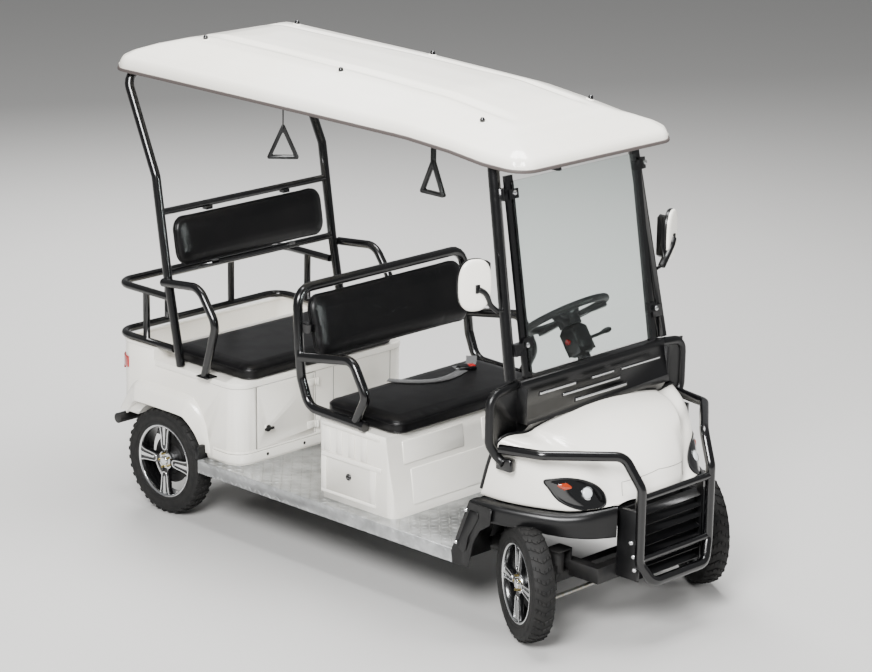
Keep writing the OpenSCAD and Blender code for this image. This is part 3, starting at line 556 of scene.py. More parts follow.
def tyreRubber():
    # carbon-black rubber, dull with grey dust in the tread
    material, tree, shader, coords = startFinish("Tyre rubber", "#0A0A0A", 0.66, Specular_IOR_Level=0.4)
    varyColour(tree, shader, coords, 28, "#090909", "#151413")
    varyRoughness(tree, shader, coords, 18, 0.6, 0.85)
    addGrain(tree, shader, coords, 1.4, 0.08)
    return material


def gripRubber():
    # soft-touch moulded rubber of the steering wheel and the grips
    material, tree, shader, coords = startFinish("Moulded grip rubber", "#090909", 0.48)
    varyRoughness(tree, shader, coords, 25, 0.42, 0.6)
    addGrain(tree, shader, coords, 1.1, 0.07)
    return material


def nylonWebbing():
    # woven nylon, ribs about 2 mm apart
    material, tree, shader, coords = startFinish("Nylon webbing", "#101011", 0.8, Sheen_Weight=0.3)
    wave = addNode(tree, "ShaderNodeTexWave", {"Scale": perMetre(12), "Distortion": 0.4}, {"Vector": coords})
    bump = addNode(tree, "ShaderNodeBump", {"Strength": 0.6, "Distance": 0.0004}, {"Height": wave.outputs[0]})
    tree.links.new(bump.outputs[0], shader.inputs["Normal"])
    return material


def colouredLens(name, colour, paintedGlow=0.0):
    # clear-moulded acrylic lens with small prisms inside; paintedGlow is a painted glow, emission on parts that
    # are not lit
    material, tree, shader, coords = startFinish(name, colour, 0.08, Coat_Weight=0.8, Coat_Roughness=0.03)
    addGrain(tree, shader, coords, 5, 0.5, "ShaderNodeTexVoronoi", 0.6)
    if paintedGlow:
        shader.inputs["Emission Color"].default_value = hexColour(colour)
        shader.inputs["Emission Strength"].default_value = paintedGlow
    return material


def smokedLens():
    # black-backed lamp cover: glossy acrylic over a dark housing
    material, tree, shader, coords = startFinish("Smoked acrylic", "#050506", 0.05, Coat_Weight=1.0,
                                                 Coat_Roughness=0.02)
    addGrain(tree, shader, coords, 60, 0.05)
    return material


def screenGlass():
    # 5 mm laminated glass, faintly green, nearly clear
    material, tree, shader, coords = startFinish("Laminated glass", "#EAF3F1", 0.02, IOR=1.5,
                                                 Transmission_Weight=1.0)
    varyRoughness(tree, shader, coords, 300, 0.0, 0.03)
    return material


def mirrorSilver():
    # silvered mirror glass
    material, tree, shader, coords = startFinish("Mirror glass", "#DDE2E4", 0.02, metallic=1.0)
    varyRoughness(tree, shader, coords, 80, 0.01, 0.05)
    return material


def edgeRubber():
    # extruded edge trim, taupe-grey
    material, tree, shader, coords = startFinish("Taupe edge rubber", "#4A4341", 0.55)
    addGrain(tree, shader, coords, 3, 0.08)
    return material


finish = {
    "white": bodyGelCoat(), "roof": roofGelCoat(), "tube": glossPowderCoat(), "chassis": chassisPaint(),
    "leather": blackLeatherette(), "plastic": blackPolypropylene(), "tread": treadAluminium(),
    "machined": machinedAluminium(), "rimPaint": glossRimPaint(), "chrome": chromePlate(),
    "zinc": zincSteel(),
    "cast": castMetal(), "tyre": tyreRubber(), "grip": gripRubber(), "webbing": nylonWebbing(),
    # red and amber parts carry a faint painted glow: emission on unlit lamps, reflectors, the switch and the belt
    # release
    "red": colouredLens("Red acrylic", "#9E0B08", 0.06),
    "amber": colouredLens("Amber acrylic", "#8E2C08", 0.04),
    "clearLens": colouredLens("Faceted reflector", "#C9CDD0"), "smoked": smokedLens(), "glass": screenGlass(),
    "mirror": mirrorSilver(), "edge": edgeRubber(), "gold": goldZinc(),
}
print("finishes made:", len(finish))


# bodywork

roofSizes = {"halfWidth": 0.460, "taper": 0.055, "corner": 0.078, "thickness": 0.008,
             "channelY": 0.165, "channelHalf": 0.022, "channelDepth": 0.010, "acrossSteps": 72,
             "alongSteps": 130}


def makeRoof():
    size = roofSizes
    low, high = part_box("roof")
    shares = [(0, 0.16), (0.004, 0.27), (0.014, 0.38), (0.05, 0.53), (0.11, 0.71), (0.19, 0.88), (0.28, 0.97),
              (0.38, 1.0)]
    crowns = [(low.x, 0.132), (-0.95, 0.138), (-0.20, 0.138), (0.25, 0.130), (0.52, 0.114), (high.x, 0.114)]
    edgeHeights = [(low.x, 1.676), (0.30, 1.650), (0.50, 1.637), (0.65, 1.618), (high.x, 1.612)]

    def outline(s, t, inset):
        # a point of the roof's plan from -1..1 along and across, pulled to a rounded rectangle
        halfLength = (high.x - low.x) / 2 - inset
        r = size["corner"]
        x = s * halfLength
        lean = size["taper"] * (x + (high.x - low.x) / 2) / (high.x - low.x)
        halfWidth = size["halfWidth"] - lean - inset
        y = t * halfWidth
        cx, cy = halfLength - r, halfWidth - r
        if abs(x) > cx and abs(y) > cy:
            dx, dy = abs(x) - cx, abs(y) - cy
            reach = max(dx, dy)
            length = math.hypot(dx, dy)
            x = math.copysign(cx + dx / length * reach, x)
            y = math.copysign(cy + dy / length * reach, y)
        return x + (low.x + high.x) / 2, y

    def height(x, y, s, t):
        inset = (1 - max(abs(s), abs(t) if abs(t) > abs(s) else abs(s)))
        across = (1 - abs(t)) * size["halfWidth"]
        along = (1 - abs(s)) * (high.x - low.x) / 2
        edge = min(across, along) if inset > 0 else 0
        soft = -math.log(math.exp(-across * 14) + math.exp(-along * 14)) / 14
        edge = max(0, lerp(edge, min(edge, soft + 0.035), 0.5))
        z = tableValue(edgeHeights, x) + tableValue(crowns, x) * tableValue(shares, edge)
        # two long channels and a shallow panel between them
        inPanel = min(max((x + 1.05) / 0.1, 0), 1) * min(max((0.62 - x) / 0.14, 0), 1)
        spread = abs(abs(y) - lerp(size["channelY"], 0.20, (x + 1.2) / 2)) / size["channelHalf"]
        z -= size["channelDepth"] * inPanel * max(0, 1 - spread * spread) ** 2
        return z

    def spaced(k, count):
        u = 2 * k / count - 1
        return math.copysign(1 - (1 - abs(u)) ** 1.6, u)

    bm = bmesh.new()
    rows = []
    for i in range(size["alongSteps"] + 1):
        s = spaced(i, size["alongSteps"])
        row = []
        for j in range(size["acrossSteps"] + 1):
            t = spaced(j, size["acrossSteps"])
            x, y = outline(s, t, 0)
            row.append(bm.verts.new((x, y, height(x, y, s, t))))
        rows.append(row)
    for a, b in zip(rows, rows[1:]):
        for j in range(size["acrossSteps"]):
            bm.faces.new((a[j], b[j], b[j + 1], a[j + 1]))
    edgeLoop = ([rows[0][j].co.copy() for j in range(size["acrossSteps"])]
                + [row[-1].co.copy() for row in rows[:-1]]
                + [rows[-1][j].co.copy() for j in range(size["acrossSteps"], 0, -1)]
                + [row[0].co.copy() for row in rows[:0:-1]])
    # the rim hangs below the crown's edge
    edges = [e for e in bm.edges if e.is_boundary]
    rim = {v: bm.verts.new(v.co - Vector((0, 0, 0.016))) for row in rows for v in row if v.is_boundary}
    for e in edges:
        a, b = e.verts
        if a in rim and b in rim:
            bm.faces.new((a, b, rim[b], rim[a]))
    roof = newObject("roof_shell", bm)
    applied(roof, ("SOLIDIFY", {"thickness": size["thickness"] * 0.8, "offset": -1.0}))
    finishPiece(roof, "body", finish["roof"], hides=["roof"], smooth=60)

    trim = bmesh.new()
    path = [p - Vector((0, 0, 0.0165)) for p in edgeLoop]
    sweep(trim, path, boxOutline(0.011, 0.012, 0.003), up=Vector((0, 0, 1)), closed=True)
    finishPiece(newObject("roof_edge_trim", trim), "body", finish["edge"], smooth=60)

    surface = BVHTree.FromObject(roof, bpy.context.evaluated_depsgraph_get())
    spots = []
    for x, y in ((-0.928, 0.233), (-0.208, 0.234), (0.523, 0.277)):
        for side in (-1, 1):
            hit = surface.ray_cast(Vector((x, side * y, 3)), Vector((0, 0, -1)))
            spots.append((hit[0], hit[1]))
    washer, nut = bmesh.new(), bmesh.new()
    place = Matrix.Rotation(math.radians(90), 4, "X")
    lathe(washer, [(0.0, 0), (0.016, 0), (0.016, 0.002), (0.0145, 0.003), (0.0, 0.003)], 24)
    washer.transform(place)
    lathe(nut, [(0.0, 0.002), (0.0095, 0.002), (0.0095, 0.008), (0.0088, 0.011), (0.006, 0.0155),
                (0.003, 0.0172), (0.0, 0.0175)], 18)
    nut.transform(place)
    for name, part, look in (("roof_washers", washer, "white"), ("roof_cap_nuts", nut, "smoked")):
        piece = grown(name, "points", newObject("template", part), finish[look], {"Size": 1.0},
                      base=pointCloud(name, spots))
        finishPiece(piece, "body", None, smooth=40)


makeRoof()
print("roof made")

# Guide lines of the hood from the dash to the nose, in mm, for the cart's left side
hoodLines = {
    "middle": [(836, 0, 752), (928, 0, 733), (1008, 0, 694), (1076, 0, 634), (1122, 0, 566), (1147, 0, 494)],
    "crease": [(832, 322, 716), (915, 300, 703), (988, 264, 671), (1046, 216, 617), (1092, 164, 555),
               (1125, 116, 488)],
    "hollow": [(824, 350, 704), (904, 326, 684), (974, 292, 647), (1030, 246, 593), (1079, 190, 536),
               (1116, 134, 486)],
    "shoulder": [(798, 466, 689), (880, 424, 664), (946, 384, 620), (1006, 322, 578), (1064, 238, 524),
                 (1112, 158, 484)],
    "lower": [(716, 458, 480), (818, 441, 474), (926, 399, 470), (1018, 345, 468), (1080, 281, 475),
              (1114, 200, 482)],
}


def mirroredLines(lines):
    return [Vector((p.x, -p.y, p.z)) for p in lines]


def makeHood():
    steps = 10
    guides = [curveThrough([mm(*p) for p in hoodLines[name]], steps) for name in
              ("middle", "crease", "hollow", "shoulder", "lower")]
    rows = []
    for i in range(len(guides[0])):
        middle, crease, hollow, shoulder, lower = (g[i] for g in guides)
        bow = [Vector((lerp(middle.x, crease.x, k * k), lerp(middle.y, crease.y, k),
                       lerp(middle.z, crease.z, k * k)))
               for k in (0, 0.2, 0.4, 0.6, 0.8, 0.93)]
        side = curveThrough([crease, hollow, shoulder, lower], 6)
        tucked = lower - Vector((0.012, 0.012, 0.004))
        half = bow + side + [tucked]
        rows.append(mirroredLines(half[:0:-1]) + half)
    bm = bmesh.new()
    skin(bm, rows, closedRing=False, capped=False)
    hood = newObject("hood_shell", bm)
    # black apron from the hood's rear edge up to the dash, and a seal along it
    edge = [p + Vector((-0.003, 0, 0.002)) for p in rows[0][2:-2]]
    bm = bmesh.new()
    apron = [p for p in edge if abs(p.y) < 0.385]
    skin(bm, [apron, [Vector((0.848, p.y * 0.98, max(p.z + 0.002, 0.748))) for p in apron]], closedRing=False,
         capped=False)
    finishPiece(applied(newObject("dash_apron", bm), ("SOLIDIFY", {"thickness": 0.003, "offset": 0})), "body",
                finish["plastic"])
    bm = bmesh.new()
    sweep(bm, edge, roundOutline(0.0062, 10))
    finishPiece(newObject("hood_back_seal", bm), "body", finish["plastic"], smooth=60)
    bm = bmesh.new()
    for side in (-1, 1):
        outline = [(0.340, 0.705), (0.366, 0.880), (0.430, 0.872), (0.478, 0.858), (0.496, 0.830),
                   (0.497, 0.690),
                   (0.466, 0.664)]
        prism(bm, [(side * y, z) for y, z in outline], 0.005,
              Matrix(((0, 0, 1, 0.7935), (1, 0, 0, 0), (0, 1, 0, 0), (0, 0, 0, 1))))
    finishPiece(newObject("cowl_side_panels", bm), "body", finish["plastic"])
    applied(hood, ("SUBSURF", {"levels": 1, "render_levels": 1}))
    surface = BVHTree.FromObject(hood, bpy.context.evaluated_depsgraph_get())
    applied(hood, ("SOLIDIFY", {"thickness": 0.004, "offset": -1.0}))
    finishPiece(hood, "body", finish["white"], hides=["front_hood"], smooth=50)

    # a closed panel joint across the nose
    seam = [surface.ray_cast(Vector((1.4, y / 1000, 0.565 - abs(y) * 0.0001)), Vector((-1, 0, 0)))[0]
            for y in range(-160, 161, 8)]
    bm = bmesh.new()
    sweep(bm, seam, roundOutline(0.0009, 8))
    for side in (-1, 1):
        drop = [surface.ray_cast(Vector((1.4, side * 0.1605, z / 1000)), Vector((-1, 0, 0)))[0]
                for z in range(549, 495, -6)]
        sweep(bm, drop, roundOutline(0.0009, 8))
    finishPiece(newObject("hood_nose_seam", bm), "body", finish["edge"], smooth=60)
    return surface


lampSizes = {"outer": (0.967, 0.398, 0.576), "inner": (1.057, 0.213, 0.501), "facing": (0.75, 0.45, 0.48),
             "dome": 0.012}
# the lamp's almond outline: share of the way from its outer to its inner tip, and mm above that line
lampOutline = [(0, 4), (0.12, 14), (0.3, 24), (0.55, 30), (0.78, 25), (0.92, 10), (0.985, -12), (0.97, -36),
               (0.84, -56), (0.66, -66), (0.46, -62), (0.27, -46), (0.11, -18)]


def makeLamps(surface):
    size = lampSizes
    outer, inner, facing = Vector(size["outer"]), Vector(size["inner"]), Vector(size["facing"]).normalized()
    along = inner - outer
    facing = (facing - along.normalized() * facing.dot(along.normalized())).normalized()
    upward = along.cross(facing).normalized()
    if upward.z < 0:
        upward = -upward

    def onHood(share, rise, lift):
        spot = outer + along * share + upward * rise * 0.001
        hit = surface.ray_cast(spot + facing * 0.3, -facing)
        if hit[0] is None:
            hit = surface.find_nearest(spot)
        return hit[0] + facing * lift

    outline = curveThrough([Vector((s, r, 0)) for s, r in lampOutline], 4, closed=True)
    centre = Vector((0.58, -12, 0))
    for side in (-1, 1):
        flip = Matrix.Scale(side, 4, (0, 1, 0))
        which = "left" if side > 0 else "right"

        def finished(name, bm, look):
            bm.transform(flip)
            finishPiece(newObject(f"{name}_{which}", bm), "body", finish[look], smooth=50)

        housing = bmesh.new()
        rings = []
        for scale, lift in ((1.0, -0.006), (1.0, 0.002), (0.97, 0.0035), (0.93, 0.0025), (0.80, 0.005),
                            (0.55, 0.008), (0.28, 0.0095), (0.08, 0.010)):
            rings.append([onHood(*((centre + (p - centre) * scale).xy), lift) for p in outline])
        skin(housing, rings)
        finished("lamp_cover", housing, "smoked")
        rim = bmesh.new()
        sweep(rim, [onHood(*((centre + (p - centre) * 1.01).xy), 0.0018) for p in outline],
              roundOutline(0.0028, 8), closed=True)
        finished("lamp_rim", rim, "plastic")
        # round reflector with its chrome ring, and the indicator beside it
        middle = onHood(0.66, -10, 0.0075)
        turn = facing.to_track_quat("Y", "Z").to_matrix().to_4x4()
        ring = bmesh.new()
        lathe(ring, [(0.019, -0.004), (0.0235, -0.004), (0.0235, 0.002), (0.021, 0.003), (0.019, 0.001)], 40)
        ring.transform(Matrix.Translation(middle) @ turn)
        finished("lamp_ring", ring, "chrome")
        bulb = bmesh.new()
        lathe(bulb, [(0.0, -0.004), (0.0195, -0.004), (0.0195, 0.001), (0.017, 0.0035), (0.012, 0.0055),
                     (0.006, 0.0066), (0.0, 0.007)], 36)
        bulb.transform(Matrix.Translation(middle) @ turn)
        finished("lamp_reflector", bulb, "clearLens")
        amber = bmesh.new()
        blob = [Vector((0.30 + 0.085 * math.cos(t) ** 3 * 1.1 + 0.02 * math.cos(t), -4 + 12 * math.sin(t), 0))
                for t in (2 * math.pi * k / 24 for k in range(24))]
        middleAmber = Vector((0.30, -4, 0))
        skin(amber, [[onHood(*((middleAmber + (p - middleAmber) * s).xy), l) for p in blob]
                     for s, l in ((1.0, 0.002), (1.0, 0.0075), (0.8, 0.0095), (0.2, 0.0102))])
        finished("lamp_indicator", amber, "amber")
    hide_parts("headlamps")


hoodSurface = makeHood()
makeLamps(hoodSurface)
print("hood and lamps made")

# Guide lines of the black band below the hood, in mm: its lip, its face and its lower edge
bandLines = {
    "inner": [(712, 462, 472), (812, 446, 470), (924, 404, 466), (1018, 350, 463), (1081, 288, 470),
              (1120, 206, 478)],
    "lip": [(700, 497, 466), (806, 478, 462), (920, 436, 456), (1016, 380, 450), (1086, 312, 456),
            (1128, 218, 468)],
    "face": [(700, 500, 452), (806, 482, 446), (920, 440, 438), (1018, 384, 432), (1088, 316, 438),
             (1131, 220, 448)],
    "lower": [(716, 498, 404), (806, 478, 398), (914, 432, 392), (1008, 376, 380), (1078, 308, 372),
              (1126, 216, 368)],
}
guardLeg = [(700, 462), (620, 262), (628, 219), (702, 219), (712, 262), (724, 318), (752, 366), (800, 398),
            (806, 456)]
guardPanel = [(706, 432), (660, 318), (655, 292), (662, 276), (684, 272), (692, 280), (702, 330), (734, 384),
              (748, 410), (746, 430)]


def makeMudGuards():
    steps = 8
    guides = [curveThrough([mm(*p) for p in bandLines[name]], steps) for name in ("inner", "lip", "face",
                                                                                  "lower")]
    for side in (-1, 1):
        which = "left" if side > 0 else "right"
        flip = Matrix.Scale(side, 4, (0, 1, 0))
        bm = bmesh.new()
        rows = []
        for i in range(len(guides[0])):
            inner, lip, face, lower = (g[i] for g in guides)
            rows.append([inner, lerp(inner, lip, 0.5) + mm(0, 0, 2), lip, face, lerp(face, lower, 0.5), lower,
                         lower - mm(8, 8, 0)])
        skin(bm, rows, closedRing=False, capped=False)
        bm.transform(flip)
        band = newObject(f"mud_guard_band_{which}", bm)
        applied(band, ("SUBSURF", {"levels": 1, "render_levels": 1}),
                ("SOLIDIFY", {"thickness": 0.004, "offset": -1.0}))
        finishPiece(band, "body", finish["plastic"], smooth=45)
        leg = bmesh.new()
        upright = Matrix(((0.001, 0, 0, 0), (0, 0, -0.001, 0.499), (0, 0.001, 0, 0), (0, 0, 0, 1)))
        prism(leg, guardLeg, 5, upright)
        leg.transform(flip)
        finishPiece(softEdges(newObject(f"mud_guard_leg_{which}", leg), 0.0018), "body", finish["plastic"])
        panel = bmesh.new()
        prism(panel, guardPanel, 3.5, Matrix.Translation((0, 0.003, 0)) @ upright)
        panel.transform(flip)
        finishPiece(softEdges(newObject(f"mud_guard_panel_{which}", panel), 0.0024, 3), "body",
                    finish["plastic"])
        # back plate behind the wheel
        plate = bmesh.new()
        slope = [(700, 464), (620, 262), (630, 218), (636, 219), (627, 262), (706, 464)]
        prism(plate, slope, 186,
              Matrix(((0.001, 0, 0, 0), (0, 0, -0.001, 0.4965), (0, 0.001, 0, 0), (0, 0, 0, 1))))
        plate.transform(flip)
        finishPiece(softEdges(newObject(f"mud_guard_back_{which}", plate), 0.001), "body", finish["plastic"])
        bolts = [(Vector((x, side * 0.5005, z)), (0, side, 0)) for x, z in ((0.6455, 0.300), (0.690, 0.428))]
        head = bmesh.new()
        lathe(head, [(0, 0), (0.007, 0), (0.007, 0.002), (0.005, 0.004), (0, 0.0046)], 16)
        head.transform(Matrix.Rotation(math.radians(90), 4, "X"))
        finishPiece(grown(f"mud_guard_bolts_{which}", "points", newObject("template", head), finish["chrome"],
                          {"Size": 1.0}, base=pointCloud("bolts", bolts)), "body", None)
    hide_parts("front_fenders")
    # closed tray between hood and chassis
    tray = bmesh.new()
    half = [p - Vector((0.012, 0.012, 0.006)) for p in guides[0]]
    outline = half + mirroredLines(half[::-1])
    prism(tray, [(p.x, p.y) for p in outline], 0.004, Matrix.Translation((0, 0, 0.458)))
    finishPiece(newObject("hood_tray", tray), "body", finish["plastic"])


makeMudGuards()
print("mud guards made")

rearSizes = {"archFlare": 0.042}


def makeRearBody():
    low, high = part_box("rear_body")
    shell = copyOfNode("rear_body", "rear_body_shell", dropped=lambda p: abs(p.y) > 0.4456)
    softEdges(shell, 0.0015, 2, 50)
    finishPiece(shell, "body", finish["white"], hides=["rear_body"], smooth=40)

    # fairings round the wheel arches: blend line on the side, crest, lip and its inner return
    lines = {
        "blend": [(-1196, 345), (-1160, 408), (-1105, 474), (-1040, 492), (-820, 492), (-752, 470),
                  (-700, 388),
                  (-676, 285)],
        "crest": [(-1180, 345), (-1140, 398), (-1092, 448), (-1040, 463), (-822, 463), (-768, 444),
                  (-722, 374),
                  (-700, 285)],
        "lip": [(-1160, 345), (-1118, 384), (-1078, 412), (-1040, 420), (-826, 420), (-782, 405), (-744, 352),
                (-720, 285)],
    }
    proud = [0.05, 0.4, 0.85, 1.0, 1.0, 0.85, 0.45, 0.12]
    for side in (-1, 1):
        which = "left" if side > 0 else "right"

        def line(name, share):
            flare = rearSizes["archFlare"] * share
            return curveThrough([Vector((x / 1000, 0.4447 + flare * p, z / 1000))
                                 for (x, z), p in zip(lines[name], proud)], 6)
        blend, crest, lip = line("blend", 0.0), line("crest", 0.82), line("lip", 1.0)
        rows = []
        for b, c, l in zip(blend, crest, lip):
            rise = lerp(b, c, 0.5) + Vector((0, (c.y - b.y) * 0.32, 0))
            edge = l - Vector((0, 0.0, 0.012))
            back = Vector((l.x, 0.436, l.z - 0.012))
            rows.append([b - Vector((0, 0.003, 0)), b, rise, c, lerp(c, l, 0.6) + Vector((0, 0.001, 0)), l,
                         edge,
                         back])
        bm = bmesh.new()
        skin(bm, rows, closedRing=False, capped=False)
        bm.transform(Matrix.Scale(side, 4, (0, 1, 0)))
        fairing = newObject(f"wheel_fairing_{which}", bm)
        applied(fairing, ("SUBSURF", {"levels": 1, "render_levels": 1}),
                ("SOLIDIFY", {"thickness": 0.003, "offset": -1.0}))
        finishPiece(fairing, "body", finish["white"], smooth=50)

    # rolled rim round the load space, and the raised lower panel and plinth round the seat base
    def tubOutline(grow, x0, x1):
        r, out = 0.070 + grow, []
        half = 0.445 + grow
        for cx, t0 in ((high.x - 0.070, -90), (high.x - 0.070, 0)):
            for k in range(13):
                t = math.radians(t0 + 7.5 * k)
                cy = math.copysign(half - r, -1 if t0 < 0 else 1)
                out.append(Vector((cx + r * math.cos(t), cy + r * math.sin(t), 0)))
        return [Vector((x0, -half, 0))] + out + [Vector((x0, half, 0))]

    rim = bmesh.new()
    back, half = low.x, 0.445
    path = [Vector((-1.0, -half + 0.004, 0.6262)), Vector((back + 0.004, -half + 0.004, 0.6262)),
            Vector((back + 0.004, half - 0.004, 0.6262)), Vector((-1.0, half - 0.004, 0.6262))]
    sweep(rim, bentPath(path, 0.066, 12), boxOutline(0.013, 0.010, 0.003), up=Vector((0, 0, 1)))
    finishPiece(newObject("load_space_rim", rim), "body", finish["white"], smooth=50)

    for name, z, tall, grow, x0 in (("seat_base_band", 0.5735, 0.021, 0.0018, -0.985),
                                    ("seat_base_plinth", 0.2905, 0.034, 0.0035, -0.66),
                                    ("seat_base_plinth_step", 0.3125, 0.008, 0.0015, -0.66)):
        bm = bmesh.new()
        path = [p + Vector((0, 0, z)) for p in tubOutline(grow, x0, 0)]
        sweep(bm, path, boxOutline(0.004, tall, 0.0016), up=Vector((0, 0, 1)))
        finishPiece(newObject(name, bm), "body", finish["white"], smooth=60)

    # panel joints: beside the hatch, under the deck and above the plinth
    seams = bmesh.new()
    for y in (-0.353, -0.047, 0.353, 0.047):
        sweep(seams, [Vector((high.x + 0.0002, y, 0.318)), Vector((high.x + 0.0002, y, 0.560))],
              roundOutline(0.0010, 8))
    for z in (0.5625, 0.3080):
        sweep(seams, [p + Vector((0, 0, z)) for p in tubOutline(0.0006, -0.66, 0)], roundOutline(0.0010, 8))
    finishPiece(newObject("rear_body_seams", seams), "body", finish["edge"], smooth=60)

    # snap rivets on the plinth
    rivet = bmesh.new()
    lathe(rivet, [(0, 0), (0.006, 0), (0.006, 0.0015), (0.004, 0.003), (0, 0.0034)], 16)
    rivet.transform(Matrix.Rotation(math.radians(90), 4, "X"))
    spots = [(Vector((high.x + 0.0055, y, 0.2905)), (1, 0, 0)) for y in (-0.30, -0.11, 0.11, 0.30)]
    finishPiece(grown("plinth_rivets", "points", newObject("template", rivet), finish["smoked"],
                      {"Size": 1.0},
                      base=pointCloud("rivets", spots)), "body", None)

    hatch = copyOfNode("rear_hatch", "hatch_panel")
    softEdges(hatch, 0.0012, 2, 40)
    finishPiece(hatch, "rear_hatch", finish["white"], hides=["rear_hatch"], smooth=40)
    latch = bmesh.new()
    place = Matrix.Translation((high.x + 0.0085, -0.30, 0.392)) @ Matrix.Rotation(math.radians(-90), 4, "Z")
    lathe(latch, [(0, 0), (0.0135, 0), (0.0135, 0.003), (0.011, 0.005), (0, 0.005)], 28)
    latch.transform(place)
    addBox(latch, mm(0, 0, 0) + Vector((high.x + 0.012, -0.322, 0.3875)),
           Vector((high.x + 0.021, -0.278, 0.3965)))
    finishPiece(softEdges(newObject("hatch_turn_latch", latch), 0.001), "rear_hatch", finish["plastic"])

    # tail lamps wrap the rear corners
    for side in (-1, 1):
        lamp = bmesh.new()
        corner = []
        for k in range(9):
            t = math.radians(96 + 10.5 * k)
            corner.append(Vector((low.x + 0.070 + 0.0738 * math.cos(t), 0.375 + 0.0738 * math.sin(t), 0.545)))
        sweep(lamp, corner, boxOutline(0.007, 0.044, 0.003), up=Vector((0, 0, 1)))
        lamp.transform(Matrix.Scale(side, 4, (0, 1, 0)))
        finishPiece(newObject(f"tail_lamp_{'left' if side > 0 else 'right'}", lamp), "body", finish["red"],
                    smooth=50)
    reflectors = copyOfNode("tail_lamps", "rear_reflectors")
    finishPiece(softEdges(reflectors, 0.0015), "body", finish["red"], hides=["tail_lamps"])


makeRearBody()
print("rear body made")

seatBox = {"ribHeight": 0.112, "ribWidth": 0.016, "ribProud": 0.004, "lean": 45 / 298}


def makeSeatBox():
    box = copyOfNode("front_seat_box", "seat_box_shell")
    softEdges(box, 0.002, 2, 50)
    finishPiece(box, "body", finish["white"], hides=["front_seat_box"], smooth=40)
    low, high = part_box("front_seat_box")
    for side in (-1, 1):
        which = "left" if side > 0 else "right"
        frameParts = bmesh.new()
        y = side * high.y

        def strip(x0, x1, z0, z1, proud=seatBox["ribProud"]):
            addBox(frameParts, Vector((x0, min(y, y + side * proud) - 0.0005, z0)),
                   Vector((x1, max(y, y + side * proud) + 0.0005, z1)))
        # upper panel with four ribs between two rails, and the wide panel under it
        for x in (-0.075, -0.012, 0.051, 0.114):
            strip(x, x + 0.030, 0.448, 0.536)
        strip(-0.088, 0.205, 0.540, 0.556, 0.003)
        strip(-0.088, 0.215, 0.424, 0.442, 0.003)
        strip(0.160, 0.190, 0.300, 0.424, 0.003)
        strip(-0.088, -0.064, 0.300, 0.424, 0.003)
        strip(-0.088, 0.190, 0.286, 0.300, 0.0025)
        ribs = softEdges(newObject(f"seat_box_ribs_{which}", frameParts), 0.0016, 3)
        finishPiece(ribs, "body", finish["white"])
        lock = bmesh.new()
        place = Matrix.Translation((0.052, y, 0.372)) @ Matrix.Rotation(math.radians(180 if side < 0 else 0),
                                                                        4, "Z")
        lathe(lock, [(0, 0), (0.0125, 0), (0.0125, 0.004), (0.0105, 0.006), (0.0075, 0.006), (0.0075, 0.004),
                     (0, 0.004)], 28)
        lock.transform(place)
        addBox(lock, Vector((0.044, y - 0.006, 0.370)), Vector((0.060, y + 0.006, 0.374)))
        finishPiece(softEdges(newObject(f"seat_box_lock_{which}", lock), 0.0006), "body", finish["smoked"])
    # moulded centre panel of the leaning front face
    panel = bmesh.new()
    lean = seatBox["lean"]
    for y0, y1, z0, z1, proud in ((-0.33, 0.33, 0.30, 0.43, 0.004), (-0.36, -0.05, 0.452, 0.535, 0.004),
                                  (0.05, 0.36, 0.452, 0.535, 0.004)):
        made = addBox(panel, Vector((-0.004, y0, z0)), Vector((proud, y1, z1)))
        for v in made:
            v.co.x += high.x - (v.co.z - cart["floorZ"]) * lean
    finishPiece(softEdges(newObject("seat_box_front_panels", panel), 0.003, 3), "body", finish["white"])


makeSeatBox()

floorSizes = {"barLength": 0.024, "barWidth": 0.0055, "barHeight": 0.0010, "pitch": 0.0245}


def makeFloor():
    size = floorSizes
    low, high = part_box("floor_plate")
    plate = copyOfNode("floor_plate", "floor_tread_plate")
    finishPiece(softEdges(plate, 0.0012, 2), "body", finish["tread"],
                hides=["floor_plate"])

    def bar(height):
        bm = bmesh.new()
        half, wide = size["barLength"] / 2, size["barWidth"] / 2
        base = [(-half, 0), (-half * 0.55, -wide), (half * 0.55, -wide), (half, 0), (half * 0.55, wide),
                (-half * 0.55, wide)]
        skin(bm, [[Vector((x, y, -0.0003)) for x, y in base],
                  [Vector((x * 0.8, y * 0.55, height)) for x, y in base]])
        return newObject("template", bm)

    length, width = high.x - low.x - 0.02, high.y - low.y - 0.02
    columns, rows = int(length / size["pitch"]), int(width / size["pitch"])
    place = Matrix.Translation(((low.x + high.x) / 2, 0, high.z))
    tread = grown("floor_tread_bars", "treadPlate", bar(size["barHeight"]), finish["tread"],
                  {"Length": length, "Width": width, "Columns": columns, "Rows": rows}, place=place)
    finishPiece(tread, "body", None, smooth=20)
    for side in (-1, 1):
        turn = Matrix.Rotation(math.radians(-90 * side), 4, "X")
        place = Matrix.Translation(((low.x + high.x) / 2, side * high.y, high.z - 0.026)) @ turn
        skirt = grown(f"floor_skirt_bars_{'left' if side > 0 else 'right'}", "treadPlate", bar(0.0006),
                      finish["tread"], {"Length": length, "Width": 0.034, "Columns": columns, "Rows": 2},
                      place=place)
        finishPiece(skirt, "body", None, smooth=20)


makeFloor()
print("seat box and floor made")


# nodes finished as they are modelled, with softened edges

plainFinish = {
    "front_seat_frame": "tube", "rear_pillars": "tube", "rear_rails": "tube",
    "roof_frame": "tube", "front_pillars": "tube", "chassis_frame": "chassis",
    "front_axle": "chassis", "rear_axle": "chassis", "pedals": "plastic", "drive_motor": "cast",
    "battery_pack": "plastic", "dash_cowl": "plastic", "grille": "plastic", "steering_column": "plastic",
    "hand_straps": "plastic", "knuckle_left": "chassis", "knuckle_right": "chassis",
    "tie_rod": "zinc", "steering_wheel": "grip", "windscreen": "glass",
}
